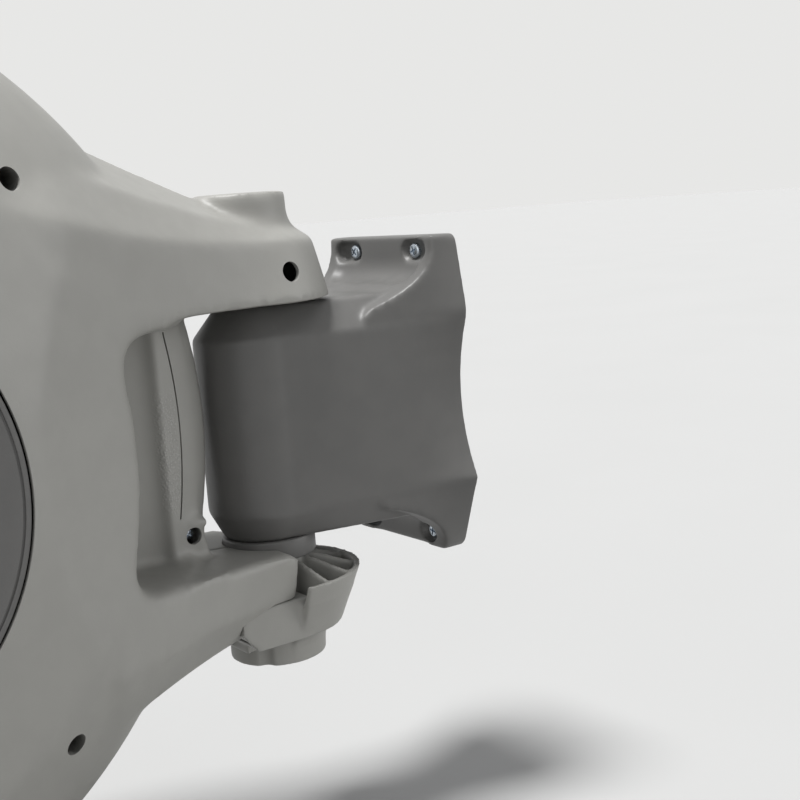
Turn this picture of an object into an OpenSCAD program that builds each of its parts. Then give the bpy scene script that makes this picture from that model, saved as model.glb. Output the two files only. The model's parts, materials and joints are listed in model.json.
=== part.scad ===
// Wall mounted hose reel: a casing with a sprung drum that swings on a wall bracket.
// Y = 0 is the wall, the reel stands off towards -Y, X is sideways and Z is up.
// The origin is the centre of the four wall holes.

/* [Wall bracket] */
// Height of the wall plate
plate_h = 188; // [180:1:200]
// Width of the wall plate at its two flares
plate_w = 132; // [128:1:142]
// Width of the wall plate at its waist
waist_w = 116; // [112:1:122]
// Width of the screw ears
ear_w = 116; // [110:1:122]
// Thickness of the wall plate
plate_t = 5; // [4:0.5:7]
// Depth of the screw ears at their tops
ear_t = 14; // [12:0.5:17]
// Height of the upper ear above the bracket's body
ear_rise = 30; // [26:1:34]
// Height of the lower ear below the bracket's body
ear_drop = 24; // [22:1:28]
// Distance between the wall holes, sideways
hole_pitch = 62; // [56:1:66]
// Distance from a wall hole to the end of the plate
hole_edge = 9; // [8:0.5:11]
// Diameter of the wall holes
wall_hole_d = 6.5; // [5:0.1:7.5]
// Wall thickness of the bracket
bracket_wall = 4; // [3:0.5:5]
// Radius of the nose about the pivot
nose_r = 33; // [31:0.5:36]

/* [Pivot] */
// Distance of the pivot from the wall
pivot_y = 107; // [100:1:120]
// Diameter of the pivot pin
pin_d = 16; // [12:0.5:20]
// Gap from the pivot to the back of the casing
back_gap = 42; // [40:1:50]
// Height of the dark collar under the nose
collar_t = 12; // [10:0.5:15]
// Radius of the ribbed pivot block
block_r = 52; // [48:1:56]

/* [Casing] */
// Radius of the casing from the drum axis to its rim
casing_r = 240; // [232:1:255]
// Width of the curved roof, from the rim to the bevel
roof_w = 40; // [36:1:46]
// Width of the bevel between the roof and the flat side
bevel_w = 36; // [32:1:40]
// Width of the flat side round the cover
flat_w = 54; // [48:1:60]
// Half width of the casing at the side covers
side_x = 108; // [106:0.5:116]
// Half width of the casing at the crease
crease_x = 92; // [90:0.5:98]
// Half width of the casing where the bevel turns into the roof
band_x = 66; // [60:1:72]
// Wall thickness of the casing
casing_wall = 3; // [2.5:0.1:3.5]
// Thickness of the side covers
cover_t = 3; // [2:0.2:4]
// Height of the drum axis above the centre of the wall plate
drum_z = 5; // [0:0.5:8]
// Half width of the upper arm at the pivot
arm_tip_w = 40; // [38:0.5:44]

/* [Drum] */
// Distance between the drum flanges
drum_w = 140; // [134:1:144]
// Radius of the drum core
core_r = 58; // [54:1:64]
// Diameter of the axle
axle_d = 24; // [20:0.5:26]
// Diameter of the water bore in the axle
water_d = 13; // [10:0.5:14]
// Number of turns of the mainspring
spring_turns = 6; // [4:1:7]

/* [Level wind] */
// Teeth on the drum's gear
drive_teeth = 60; // [58:2:62]
// Teeth on the idler gear
idler_teeth = 50; // [48:2:52]
// Teeth on the traverse screw's gear
screw_teeth = 26; // [24:2:28]
// Diameter of the traverse screw
screw_d = 14; // [12:0.5:16]
// Diameter of the hose guide's rod
rod_d = 8; // [6:0.5:10]
// Diameter of the hose guide's eye
eye_d = 22; // [19:0.5:24]

/* [Hose outlet] */
// Width of the hose path between the rollers
path_w = 19; // [18:0.5:21]
// Diameter of the outlet rollers
roller_d = 11; // [10:0.5:12]
// Diameter of the roller pins
roller_pin_d = 4; // [3:0.5:5]
// Distance that the front of the casing stands out from its rim
front_proud = 14; // [12:1:20]
// Height of the front housing
front_h = 142; // [138:1:150]

/* [Water inlet] */
// Outer diameter of the inlet nipple
nipple_d = 17; // [15:0.5:18]
// Length of the inlet nipple below the elbow
nipple_l = 28; // [24:1:34]

/* [Hidden] */
$fn = 64;

// Overrun of cuts and the two kinds of clearance
over = 1;
running = 0.05;
loose = 0.4;

// Colours
case_grey = [0.56, 0.55, 0.53];
dark_grey = [0.31, 0.31, 0.30];
cover_grey = [0.29, 0.29, 0.28];
steel = [0.72, 0.73, 0.75];
black = [0.10, 0.10, 0.10];
white = [0.86, 0.86, 0.83];

// Bracket: heights, bevels and curves
plate_top = plate_h / 2;
body_top = plate_top - ear_rise;
body_low = ear_drop - plate_top;
nose_dip = 3;
nose_top = body_top - nose_dip;
top_bevel_in = 13;
top_bevel_h = 16;
pad_inset = 2;
pad_edge = top_bevel_in + pad_inset;
low_bevel_in = 8;
low_bevel_h = 16;
flare_z_share = 0.52;
low_ear_share = 0.82;
body_x = waist_w / 2;
nose_steps = 20;
gusset_y = 38;
gusset_w = 8;
dish_back = 12;
pocket_d = 6;
pocket_in = 3;
pocket_out = 9;
pocket_h = 13;
pad_r = 60;
pad_dip = 1.5;
pad_z = body_top - pad_dip;
hole_z = plate_top - hole_edge;

// Pivot: pin, bushes and thrust faces
pin_r = pin_d / 2;
bush_wall = 4;
bush_r = pin_r + bush_wall;
bush_l = 30;
tube_wall = 5;
upper_flange_r = 16;
upper_flange_proud = 1;
upper_flange_t = 3;
collar_r = 27;
arm_under = pad_z + upper_flange_proud + loose;
ledge_z = body_low - collar_t - loose;

// Radii of the casing: the bevel's two edges and the side covers
band_r = casing_r - roof_w;
crease_r = band_r - bevel_w;
cover_r = crease_r - flat_w;

// Drum axis and arms, seen from above: the side of the neck sweeps in to the pivot
drum_y = -(pivot_y + back_gap + casing_r);
cover_gap = 1;
cover_lip = 2.5;
neck_y = drum_y + cover_r + cover_gap + cover_lip;
neck_power = 1.6;
neck_steps = 12;
neck_l = -pivot_y - neck_y;
arm_start_share = 0.3;
arm_steps = 8;
arm_sink = 1;
arm_lean = 8;
arm_root_under = 6;
under_share = 0.33;
arm_crease_rise = 34;
arm_crease_root = 22;
arm_ridge_rise = 15;
arm_ridge_root = 80;
arm_ridge_power = 1.1;
arm_bevel_share = 0.72;
arm_bevel_z_share = 0.5;
boss_r = 26;
boss_top = 12;
ledge_root = 14;
low_crease_drop = 16;
low_crease_root = 4;
low_ridge_drop = 26;
low_ridge_root = 60;
low_ridge_power = 1.35;
low_tip_back = 6;

// Hand grip and scoops between the arms
grip_back_w = 9;
grip_root_w = 20;
grip_l = 30;
scoop_l = 38;
scoop_edge_w = 70;
scoop_steps = 8;

// Front housing with the hose outlet
front_inset = 2;
front_x = crease_x - front_inset;
front_y = drum_y - casing_r - front_proud;
front_l = 200;
front_corner = 38;
front_bevel = 24;
front_steps = 6;

// Casing: sides, sockets and screws
recess_x = side_x - cover_t - cover_gap;
inner_x = recess_x - casing_wall;
socket_wall = 6;
socket_l = 14;
rim_steps = 8;
screw_hole_r = 5.5;
screw_boss_wall = 2.5;
screw_seat = 8;
screw_r = 2;
screw_head_r = 3.5;
screw_head_t = 2.5;
screw_l = 24;
pilot_l = 26;
rim_screw_r = (crease_r + band_r) / 2;
rim_screw_x = (crease_x + band_x) / 2;
rim_boss_r = screw_hole_r + screw_boss_wall;
rim_boss_l = rim_screw_x - casing_wall / 2 - rim_boss_r * (crease_x - band_x) / (band_r - crease_r);
rim_screw_angles = [46, 95, 140, 232, 265, 314];
grip_screw_y = 13;
grip_screw_z = -58;
lock_screw_y = 5;
lock_screw_l = 20;

// Drum along its axle
axle_r = axle_d / 2;
drum_x = drum_w / 2;
flange_t = 3;
core_wall = 3;
web_t = 6;
bearing_wall = 3;
bearing_l = 16;
hub_wall = 4;
bearing_r = axle_r + bearing_wall;
hub_r = bearing_r + hub_wall;
flange_out = drum_x + flange_t;
flange_gap = 3;
neck_fit = flange_out + casing_wall + flange_gap;
neck_fit_share = 1 - pow((neck_fit - arm_tip_w) / (side_x - arm_tip_w), 1 / neck_power);
flange_r = neck_y + neck_fit_share * neck_l - drum_y - flange_gap;
clip_t = 1.5;
clip_wall = 4;
spring_x = 18;
spring_w = 38;
spring_t = 1.2;
arbor_wall = 6;
arbor_r = axle_r + arbor_wall;
spring_inner_r = arbor_r + loose;
spring_outer_r = core_r - core_wall - spring_t;
spring_step = 15;
mid_web_x = 8;
swivel_x = -30;
swivel_l = 24;
swivel_wall = 10;
swivel_r = axle_r + swivel_wall;
seal_d = 3;
tail_r = 8;
tail_bore_r = 5;
tail_proud = 26;
barb_h = 1.5;
barb_l = 6;
drum_screw_r = 2;
drum_screw_head_r = 4;
drum_screw_head_t = 2;
drum_screw_bite = 5;
drum_screw_count = 6;

// Ratchet: the pawl rests clear of the teeth
ratchet_teeth = 24;
ratchet_t = 6;
ratchet_tip_r = 96;
ratchet_tooth_h = 6;
ratchet_rim_w = 12;
ratchet_root_r = ratchet_tip_r - ratchet_tooth_h;
ratchet_inner_r = ratchet_root_r - ratchet_rim_w;
ratchet_gap_share = 0.55;
pawl_bite_angle = 12;
pawl_ring = 20;
pawl_reach = 30;
pawl_clear = 3;
pawl_t = 5;
pawl_w = 9;
pawl_tip_w = 5;
pawl_hub_r = 8;
pawl_pin_r = 3;
pawl_z = ratchet_tip_r + pawl_ring;
pawl_boss_r = 7;
pawl_spring_l = 6;

// Gear train: drum gear, idler and screw gear lie on one line
gear_t = 7;
gear_gap = 0.6;
tooth_root_share = 0.54;
tooth_tip_share = 0.22;
tooth_add_share = 0.9;
tooth_ded_share = 1.15;
gear_lip = 1.3;
train_angle = 190;
screw_back = 68;
screw_far = casing_r + front_proud - screw_back;
gear_module = screw_far / ((drive_teeth + screw_teeth) / 2 + idler_teeth);
drive_r = drive_teeth * gear_module / 2;
idler_r = idler_teeth * gear_module / 2;
idler_far = drive_r + idler_r;
drum_screw_in = 9;
drum_screw_ring = core_r - drum_screw_in;
idler_hub_r = 10;
idler_pin_r = 5;
screw_rad = screw_d / 2;
journal_r = 5;
screw_y = drum_y + screw_far * cos(train_angle);
screw_z = drum_z + screw_far * sin(train_angle);
idler_y = drum_y + idler_far * cos(train_angle);
idler_z = drum_z + idler_far * sin(train_angle);

// Hose guide: an eye between the traverse screw above and the rod below
rod_r = rod_d / 2;
guide_wall = 5;
guide_w = 32;
guide_depth = 24;
eye_r = eye_d / 2;
outlet_z = screw_z - screw_rad - guide_wall - eye_r;
rod_z = outlet_z - eye_r - guide_wall - rod_r;
front_top = outlet_z + front_h / 2 + guide_wall;

// Outlet frame: a sleeve with two pairs of rollers, behind a bezel
roller_r = roller_d / 2;
roller_pin_r = roller_pin_d / 2;
roller_off = path_w / 2 + roller_r;
sleeve_wall = 4;
roller_side_gap = 0.6;
sleeve_half = roller_off + roller_r + roller_side_gap;
sleeve_out = sleeve_half + sleeve_wall;
sleeve_l = 30;
bezel_rim = 9;
bezel_t = 5;
roller_end = 1;
row_gap = 1;
row_front_y = front_y + roller_r + row_gap;
row_back_y = row_front_y + roller_d + row_gap;

// Water inlet: an elbow on the left end of the axle
elbow_r = 16;
elbow_l = 30;
elbow_x = -(side_x + loose);
elbow_mid_x = elbow_x - elbow_l / 2;
elbow_drop = 26;
elbow_neck_r = 13;
nipple_flange_r = 12;
nipple_flange_t = 5;
nipple_ring_d = 3;
inlet_seal_d = 2.4;

// Pivot block under the lower arm
block_low_r = 39;
block_wall = 3.5;
block_rim_drop = 10;
tongue_drop = 8;
block_cup_h = 32;
block_rim_z = ledge_z - block_rim_drop;
block_floor_z = block_rim_z - block_cup_h;
tongue_top_z = block_rim_z - tongue_drop;
block_floor_t = 5;
block_boss_r = 28;
block_boss_h = 18;
block_hub_r = 20;
rib_t = 3;
rib_count = 7;
rib_angle = 26;
tongue_w = 40;
tongue_l = 37;
tongue_gap = 0.4;
tongue_wall = 4;
block_screw_x = 22;
block_screw_back = 22;
block_low_z = block_floor_z - block_boss_h;
pin_low_z = block_low_z + block_floor_t;
upper_boss_z = arm_under + arm_crease_rise + arm_ridge_rise + boss_top;
pin_top_z = upper_boss_z - block_floor_t;

// Curves and the plan of the neck
function bezier(a, b, c, t) = a * (1 - t) * (1 - t) + b * 2 * t * (1 - t) + c * t * t;
function curve(a, b, c, n) = [for (i = [0:n]) bezier(a, b, c, i / n)];
function settle(from, to, s, power) = to + (from - to) * pow(1 - s, power);
function neck_w(s) = settle(side_x, arm_tip_w, s, neck_power);
function neck_at(s) = neck_y + s * neck_l;

// Places the children on the drum axis, with their Z along +X
module on_drum(y = drum_y, z = drum_z, x = 0) {
    translate([x, y, z]) rotate([0, 90, 0]) children();
}

module tube(outer, inner, h) {
    difference() {
        cylinder(r = outer, h = h);
        translate([0, 0, -over]) cylinder(r = inner, h = h + 2 * over);
    }
}

// Solid between rings of points that follow each other
module loft(rings) {
    n = len(rings);
    m = len(rings[0]);
    sides = [for (i = [0:n - 2], j = [0:m - 1]) each
        let (a = i * m + j, b = i * m + (j + 1) % m)
        [[a, b, b + m], [a, b + m, a + m]]];
    ends = [[for (j = [m - 1:-1:0]) j], [for (j = [0:m - 1]) (n - 1) * m + j]];
    polyhedron([for (ring = rings) each ring], concat(sides, ends));
}

// Gear blank with straight-sided teeth, one tooth centred on its +X
module gear_shape(teeth) {
    pitch_r = teeth * gear_module / 2;
    root_r = pitch_r - tooth_ded_share * gear_module;
    tip_r = pitch_r + tooth_add_share * gear_module;
    root_a = 180 / teeth * tooth_root_share;
    tip_a = 180 / teeth * tooth_tip_share;
    polygon([for (i = [0:teeth - 1]) each [
        for (p = [[root_r, -root_a], [tip_r, -tip_a], [tip_r, tip_a], [root_r, root_a]])
            p[0] * [cos(i * 360 / teeth + p[1]), sin(i * 360 / teeth + p[1])]]]);
}

// Turns a shape drawn in XY so that its X is the part's Y and its Y is the part's Z, extruded along +X
module side_extrude(h) {
    rotate([90, 0, 90]) linear_extrude(height = h) children();
}

// Bracket

// Plan of the bracket's body: round the nose, straight to the wall, at height z at the nose's front
function body_ring(z, rise, inset, t) = let (
    tilt = atan((body_x - nose_r) / pivot_y),
    r = nose_r - inset - t,
    w = body_x - inset - t,
    back = t > 0 ? over : 0,
    arc = [for (i = [0:nose_steps]) let (a = -tilt - (180 - 2 * tilt) * i / nose_steps)
        [r * cos(a), r * sin(a) - pivot_y]],
    plan = concat([[w, back]], arc, [[-w, back]]))
    [for (p = plan) [p[0], p[1], z + rise * (p[1] + pivot_y + nose_r) / (pivot_y + nose_r)]];

// Body of the bracket, t inside its outer face
module bracket_body(t) {
    loft([body_ring(body_low + t, 0, low_bevel_in, t),
        body_ring(body_low + low_bevel_h, 0, 0, t),
        body_ring(nose_top - top_bevel_h - t, 0, 0, t),
        body_ring(nose_top - t, nose_dip, top_bevel_in, t)]);
}

module plate_outline() {
    flare_z = plate_top * flare_z_share;
    half = [[ear_w / 2, plate_top], [plate_w / 2, flare_z], [waist_w / 2, 0], [plate_w / 2, -flare_z],
        [ear_w / 2 * low_ear_share, -plate_top]];
    polygon(concat(half, [for (i = [len(half) - 1:-1:0]) [-half[i][0], half[i][1]]]));
}

// Side outline of an ear: straight at the wall, sweeping out to the bracket's body
module ear_side(rise, back, depth) {
    foot = [-gusset_y, 0];
    polygon(concat(curve(foot, [-back - depth, 0], [-back, rise], neck_steps), [[0, rise],
        [0, -bracket_wall],
        [-gusset_y, -bracket_wall]]));
}

module ear(rise) {
    half = ear_w / 2;
    difference() {
        translate([-half, 0, 0]) side_extrude(ear_w) ear_side(rise, ear_t, 0);
        translate([gusset_w - half, 0, 0]) side_extrude(ear_w - 2 * gusset_w) difference() {
            translate([-gusset_y - over, 0]) square([gusset_y + over, rise + over]);
            ear_side(rise + 2 * over, dish_back, -dish_back / 3);
        }
        for (side = [-1, 1])
            translate([side * half, 0, -rise]) rotate([0, 0, side * atan((body_x - nose_r) / pivot_y)])
                translate([side > 0 ? 0 : -half, -pivot_y, 0]) cube([half, 2 * pivot_y, 3 * rise]);
    }
}

module wall_bracket() color(dark_grey) {
    difference() {
        union() {
            difference() {
                union() {
                    bracket_body(0);
                    rotate([90, 0, 0]) linear_extrude(height = plate_t) plate_outline();
                    translate([0, 0, body_top]) ear(ear_rise);
                    translate([0, 0, body_low]) mirror([0, 0, 1]) ear(ear_drop);
                    translate([0, -pivot_y, nose_top - top_bevel_h])
                        linear_extrude(height = pad_z - nose_top + top_bevel_h) intersection() {
                            circle(r = pad_r);
                            union() {
                                circle(r = nose_r - pad_edge);
                                polygon([[nose_r - pad_edge, 0], [body_x - pad_edge, pivot_y],
                                    [pad_edge - body_x, pivot_y], [pad_edge - nose_r, 0]]);
                            }
                        }
                }
                bracket_body(bracket_wall);
            }
            translate([0, -pivot_y, body_low]) cylinder(r = bush_r + tube_wall, h = pad_z - body_low);
        }
        translate([0, -pivot_y, body_low - over])
            cylinder(r = bush_r + running, h = pad_z - body_low + 2 * over);
        translate([0, -pivot_y, pad_z + upper_flange_proud - upper_flange_t])
            cylinder(r = upper_flange_r + loose, h = upper_flange_t + over);
        for (x = [-1, 1], z = [-1, 1]) translate([x * hole_pitch / 2, over, z * hole_z])
            rotate([90, 0, 0]) cylinder(d = wall_hole_d, h = gusset_y);
        for (x = [-1, 1], z = [-1, 1]) translate([x * hole_pitch / 2, -ear_t + pocket_d, z * hole_z])
            rotate([90, 0, 0]) {
                for (shift = [-pocket_in, pocket_out]) translate([x * shift, 0, 0])
                    cylinder(d = pocket_h, h = gusset_y);
                translate([x > 0 ? -pocket_in : -pocket_out, -pocket_h / 2, 0])
                    cube([pocket_in + pocket_out, pocket_h, gusset_y]);
            }
    }
}

module upper_bush() color(black) translate([0, -pivot_y, pad_z + upper_flange_proud]) mirror([0, 0, 1])
    difference() {
        union() {
            cylinder(r = upper_flange_r, h = upper_flange_t);
            cylinder(r = bush_r, h = bush_l);
        }
        translate([0, 0, -over]) cylinder(r = pin_r + running, h = bush_l + 2 * over);
    }

module lower_bush() color(dark_grey) translate([0, -pivot_y, body_low - collar_t])
    difference() {
        union() {
            cylinder(r = collar_r, h = collar_t);
            cylinder(r = bush_r, h = collar_t + bush_l);
        }
        translate([0, 0, -over]) cylinder(r = pin_r + running, h = collar_t + bush_l + 2 * over);
    }

module pivot_pin() color(steel) translate([0, -pivot_y, pin_low_z])
    cylinder(r = pin_r, h = pin_top_z - pin_low_z);

// Casing

// Half section of the round casing: radius and distance from the middle, t inside the outer face
function casing_section(t) = concat([[0, t > 0 ? -over : 0], [casing_r - t, t > 0 ? -over : 0]],
    curve([casing_r - t, 0], [casing_r - t, band_x / 2], [band_r - t, band_x - t], rim_steps),
    [[crease_r - t, crease_x - t]],
    t > 0 ? [[cover_r, inner_x], [0, inner_x]] :
        [[cover_r + cover_gap, side_x], [cover_r + cover_gap, recess_x], [0, recess_x]]);

module round_casing(t) {
    on_drum() rotate_extrude($fn = 128) polygon(casing_section(t));
}

// Cuts both faces of the neck, seen from above
module neck_cut(t) {
    sweep = [for (i = [0:neck_steps]) [neck_w(i / neck_steps) - t, neck_at(i / neck_steps)]];
    translate([0, 0, -2 * casing_r]) linear_extrude(height = 4 * casing_r)
        polygon(concat(sweep, [[2 * side_x, -pivot_y], [2 * side_x, neck_y]]));
}

// Cuts the scoop beside the hand grip, between the two arms
module scoop_cut(t) {
    back_y = drum_y + casing_r;
    root = [grip_root_w - t, back_y - grip_l];
    edge = [scoop_edge_w - t, back_y - grip_l - scoop_l - t];
    low = ledge_z + ledge_root - t;
    translate([0, 0, low]) linear_extrude(height = arm_under - arm_root_under + t - low)
        polygon(concat([[grip_back_w - t, -pivot_y], [grip_back_w - t, back_y]],
            curve(root, [root[0], edge[1]], edge, scoop_steps), [[2 * side_x, edge[1]],
                [2 * side_x, -pivot_y]]));
}

// Half sections of the two arms at a share of the neck's length
function upper_ring(s, t) = let (
    y = neck_at(s),
    w = neck_w(s) - arm_sink,
    under = arm_under - arm_root_under * (1 - min(1, (s - arm_start_share) / under_share)),
    crease = arm_under + arm_crease_rise + arm_crease_root * pow(1 - s, 2),
    ridge = settle(upper_boss_z - boss_top + arm_ridge_root, upper_boss_z - boss_top, s, arm_ridge_power),
    x = t > 0 ? -over : 0)
    [[x, y, under + t], [w + arm_lean * pow(s, 4) - t, y, under + t], [w - t, y, crease - t / 2],
        [w * arm_bevel_share - t, y, crease + (ridge - crease) * arm_bevel_z_share - t], [x, y, ridge - t]];

function lower_ring(s, t) = let (
    y = neck_at(s),
    w = neck_w(s) - arm_sink,
    top = ledge_z + ledge_root * (1 - s) / (1 - arm_start_share),
    crease = ledge_z - low_crease_drop - low_crease_root * pow(1 - s, 2),
    ridge = settle(crease - low_ridge_drop - low_ridge_root, crease - low_ridge_drop, s, low_ridge_power),
    x = t > 0 ? -over : 0)
    [[x, y, top - t], [x, y, ridge + t], [w * arm_bevel_share - t, y,
        crease + (ridge - crease) * arm_bevel_z_share + t],
        [w - t, y, crease + t / 2], [w + arm_lean * pow(s, 4) - t, y, top - t]];

module upper_arm(t) {
    loft([for (i = [0:arm_steps]) upper_ring(arm_start_share + (1 - arm_start_share) * i / arm_steps, t)]);
    end = upper_ring(1, t);
    translate([0, -pivot_y, 0]) rotate([0, 0, -90]) rotate_extrude(angle = 180) polygon(concat(
        [[0, end[0][2]], [end[1][0], end[1][2]], [end[2][0], end[2][2]], [end[3][0], end[3][2]]],
        t > 0 ? [[0, end[3][2]]] : [[boss_r, end[4][2]], [boss_r, upper_boss_z], [0, upper_boss_z]]));
}

module lower_arm(t) {
    tip_share = 1 - (low_tip_back + (t > 0 ? tongue_l + 2 * t : 0)) / neck_l;
    loft([for (i = [0:arm_steps])
        lower_ring(arm_start_share + (tip_share - arm_start_share) * i / arm_steps, t)]);
}

// Half of the front housing
module front_housing(t) {
    corner = front_corner - t;
    x0 = t > 0 ? -over : 0;
    x1 = front_x - t;
    y0 = front_y + t;
    z0 = front_top - front_h + t;
    z1 = front_top - t;
    y1 = front_y + front_l;
    intersection() {
        translate([0, 0, z0]) linear_extrude(height = z1 - z0)
            polygon(concat([[x0, y1], [x0, y0]],
                curve([x1 - corner, y0], [x1, y0], [x1, y0 + corner], front_steps), [[x1, y1]]));
        translate([x0, 0, 0]) side_extrude(2 * side_x)
            polygon([[y1, z0], [y0 + front_bevel, z0], [y0, z0 + front_bevel], [y0, z1 - front_bevel],
                [y0 + front_bevel, z1], [y1, z1]]);
    }
}

module casing_form(t) {
    difference() {
        round_casing(t);
        neck_cut(t);
        scoop_cut(t);
    }
    upper_arm(t);
    lower_arm(t);
    front_housing(t);
}

// Places the children at each screw that joins the halves, with their Z along +X
module at_rim_screws() {
    for (a = rim_screw_angles)
        on_drum(drum_y + rim_screw_r * cos(a), drum_z + rim_screw_r * sin(a)) children();
}

module at_grip_screw() {
    on_drum(drum_y + casing_r - grip_screw_y, grip_screw_z) children();
}

module at_lock_screw() {
    on_drum(lock_screw_y - pivot_y, arm_under + arm_crease_rise / 2, pin_r + loose) children();
}

// What both halves have, drawn on the +X side: hollow form, screw bosses and sockets
module casing_half() {
    difference() {
        union() {
            difference() {
                casing_form(0);
                casing_form(casing_wall);
            }
            at_rim_screws() cylinder(r = rim_boss_r, h = rim_boss_l);
            at_grip_screw() cylinder(r = screw_hole_r + screw_boss_wall / 2,
                h = grip_back_w + screw_head_t);
            on_drum(x = inner_x - socket_l) cylinder(r = axle_r + socket_wall, h = socket_l + over);
            for (p = [[screw_y, screw_z, journal_r], [screw_y, rod_z, rod_r]])
                on_drum(p[0], p[1], flange_out + gear_t + 2 * gear_gap)
                    cylinder(r = p[2] + socket_wall / 2,
                        h = front_x - flange_out - gear_t - 2 * gear_gap - over);
            intersection() {
                translate([0, -pivot_y, arm_under])
                    cylinder(r = pin_r + tube_wall, h = upper_boss_z - arm_under - over);
                translate([0, -2 * pivot_y, 0]) cube([side_x, 2 * pivot_y, casing_r]);
            }
        }
        on_drum(x = inner_x - socket_l - over) cylinder(r = axle_r + running, h = socket_l + over);
        for (p = [[screw_y, screw_z, journal_r], [screw_y, rod_z, rod_r]])
            on_drum(p[0], p[1], flange_out)
                cylinder(r = p[2] + running, h = front_x - flange_out - casing_wall);
        translate([0, -pivot_y, arm_under - over])
            cylinder(r = pin_r + running, h = pin_top_z - arm_under + over + loose);
        translate([-over, front_y - over, outlet_z - sleeve_out - loose])
            cube([sleeve_out + loose + over, front_l / 4, 2 * (sleeve_out + loose)]);
        translate([-over, -pivot_y - low_tip_back - tongue_l - tongue_gap, -casing_r])
            cube([tongue_w + tongue_gap + over, tongue_l + 2 * low_tip_back,
                casing_r + tongue_top_z + tongue_gap]);
        translate([0, -pivot_y, -casing_r])
            cylinder(r = block_hub_r + tongue_gap, h = casing_r + ledge_z + over);
        translate([0, -pivot_y, ledge_z]) cylinder(r = collar_r + loose, h = collar_t);
        translate([block_screw_x, -pivot_y - block_screw_back, tongue_top_z])
            cylinder(r = screw_r - running, h = ledge_z - tongue_top_z - casing_wall);
    }
}

module casing_right() color(case_grey) difference() {
    union() {
        casing_half();
        on_drum(z = drum_z + pawl_z, x = flange_out + ratchet_t + gear_gap)
            cylinder(r = pawl_boss_r, h = inner_x - flange_out - ratchet_t - gear_gap + over);
    }
    for (s = [0, 1]) {
        at_rim_screws() translate([0, 0, s * screw_seat - over])
            cylinder(r = s > 0 ? screw_hole_r : screw_r + running, h = side_x);
        at_grip_screw() translate([0, 0, s * screw_seat - over])
            cylinder(r = s > 0 ? screw_hole_r - screw_boss_wall / 2 : screw_r + running, h = side_x / 2);
        at_lock_screw() translate([0, 0, s * lock_screw_l - pin_r])
            cylinder(r = s > 0 ? screw_hole_r : screw_r + running, h = side_x / 2);
    }
    on_drum(z = drum_z + pawl_z, x = flange_out)
        cylinder(r = pawl_pin_r + running, h = inner_x - flange_out);
}

module casing_left() color(case_grey) mirror([1, 0, 0]) difference() {
    union() {
        casing_half();
        on_drum(idler_y, idler_z, flange_out + gear_t + 2 * gear_gap)
            cylinder(r = idler_hub_r, h = inner_x - flange_out - gear_t - 2 * gear_gap + over);
    }
    at_rim_screws() translate([0, 0, -over]) cylinder(r = screw_r - running, h = pilot_l);
    at_grip_screw() translate([0, 0, -over]) cylinder(r = screw_r - running, h = grip_back_w);
    on_drum(idler_y, idler_z, flange_out) cylinder(r = idler_pin_r + running, h = inner_x - flange_out);
    on_drum(x = inner_x - over) cylinder(r = axle_r + running, h = side_x);
}

module side_cover(hole) {
    on_drum(x = recess_x) rotate_extrude($fn = 128) polygon([[hole, 0], [cover_r, 0],
        [cover_r, cover_t - cover_gap], [cover_r - cover_gap, cover_t], [cover_r - 3 * cover_lip, cover_t],
        [cover_r - 4 * cover_lip, cover_t - cover_gap], [cover_r / 2, cover_t], [hole, cover_t]]);
}

module side_cover_right() color(cover_grey) side_cover(0);

module side_cover_left() color(cover_grey) mirror([1, 0, 0]) side_cover(axle_r + loose);

module one_screw(length) {
    cylinder(r = screw_head_r, h = screw_head_t);
    translate([0, 0, -length]) cylinder(r = screw_r - 2 * running, h = length);
}

module casing_screws() color(steel) {
    at_rim_screws() translate([0, 0, screw_seat - over]) one_screw(screw_l);
    at_grip_screw() translate([0, 0, screw_seat - over]) one_screw(screw_seat + grip_back_w / 2);
    at_lock_screw() translate([0, 0, lock_screw_l - pin_r]) one_screw(lock_screw_l - pin_r);
}

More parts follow.
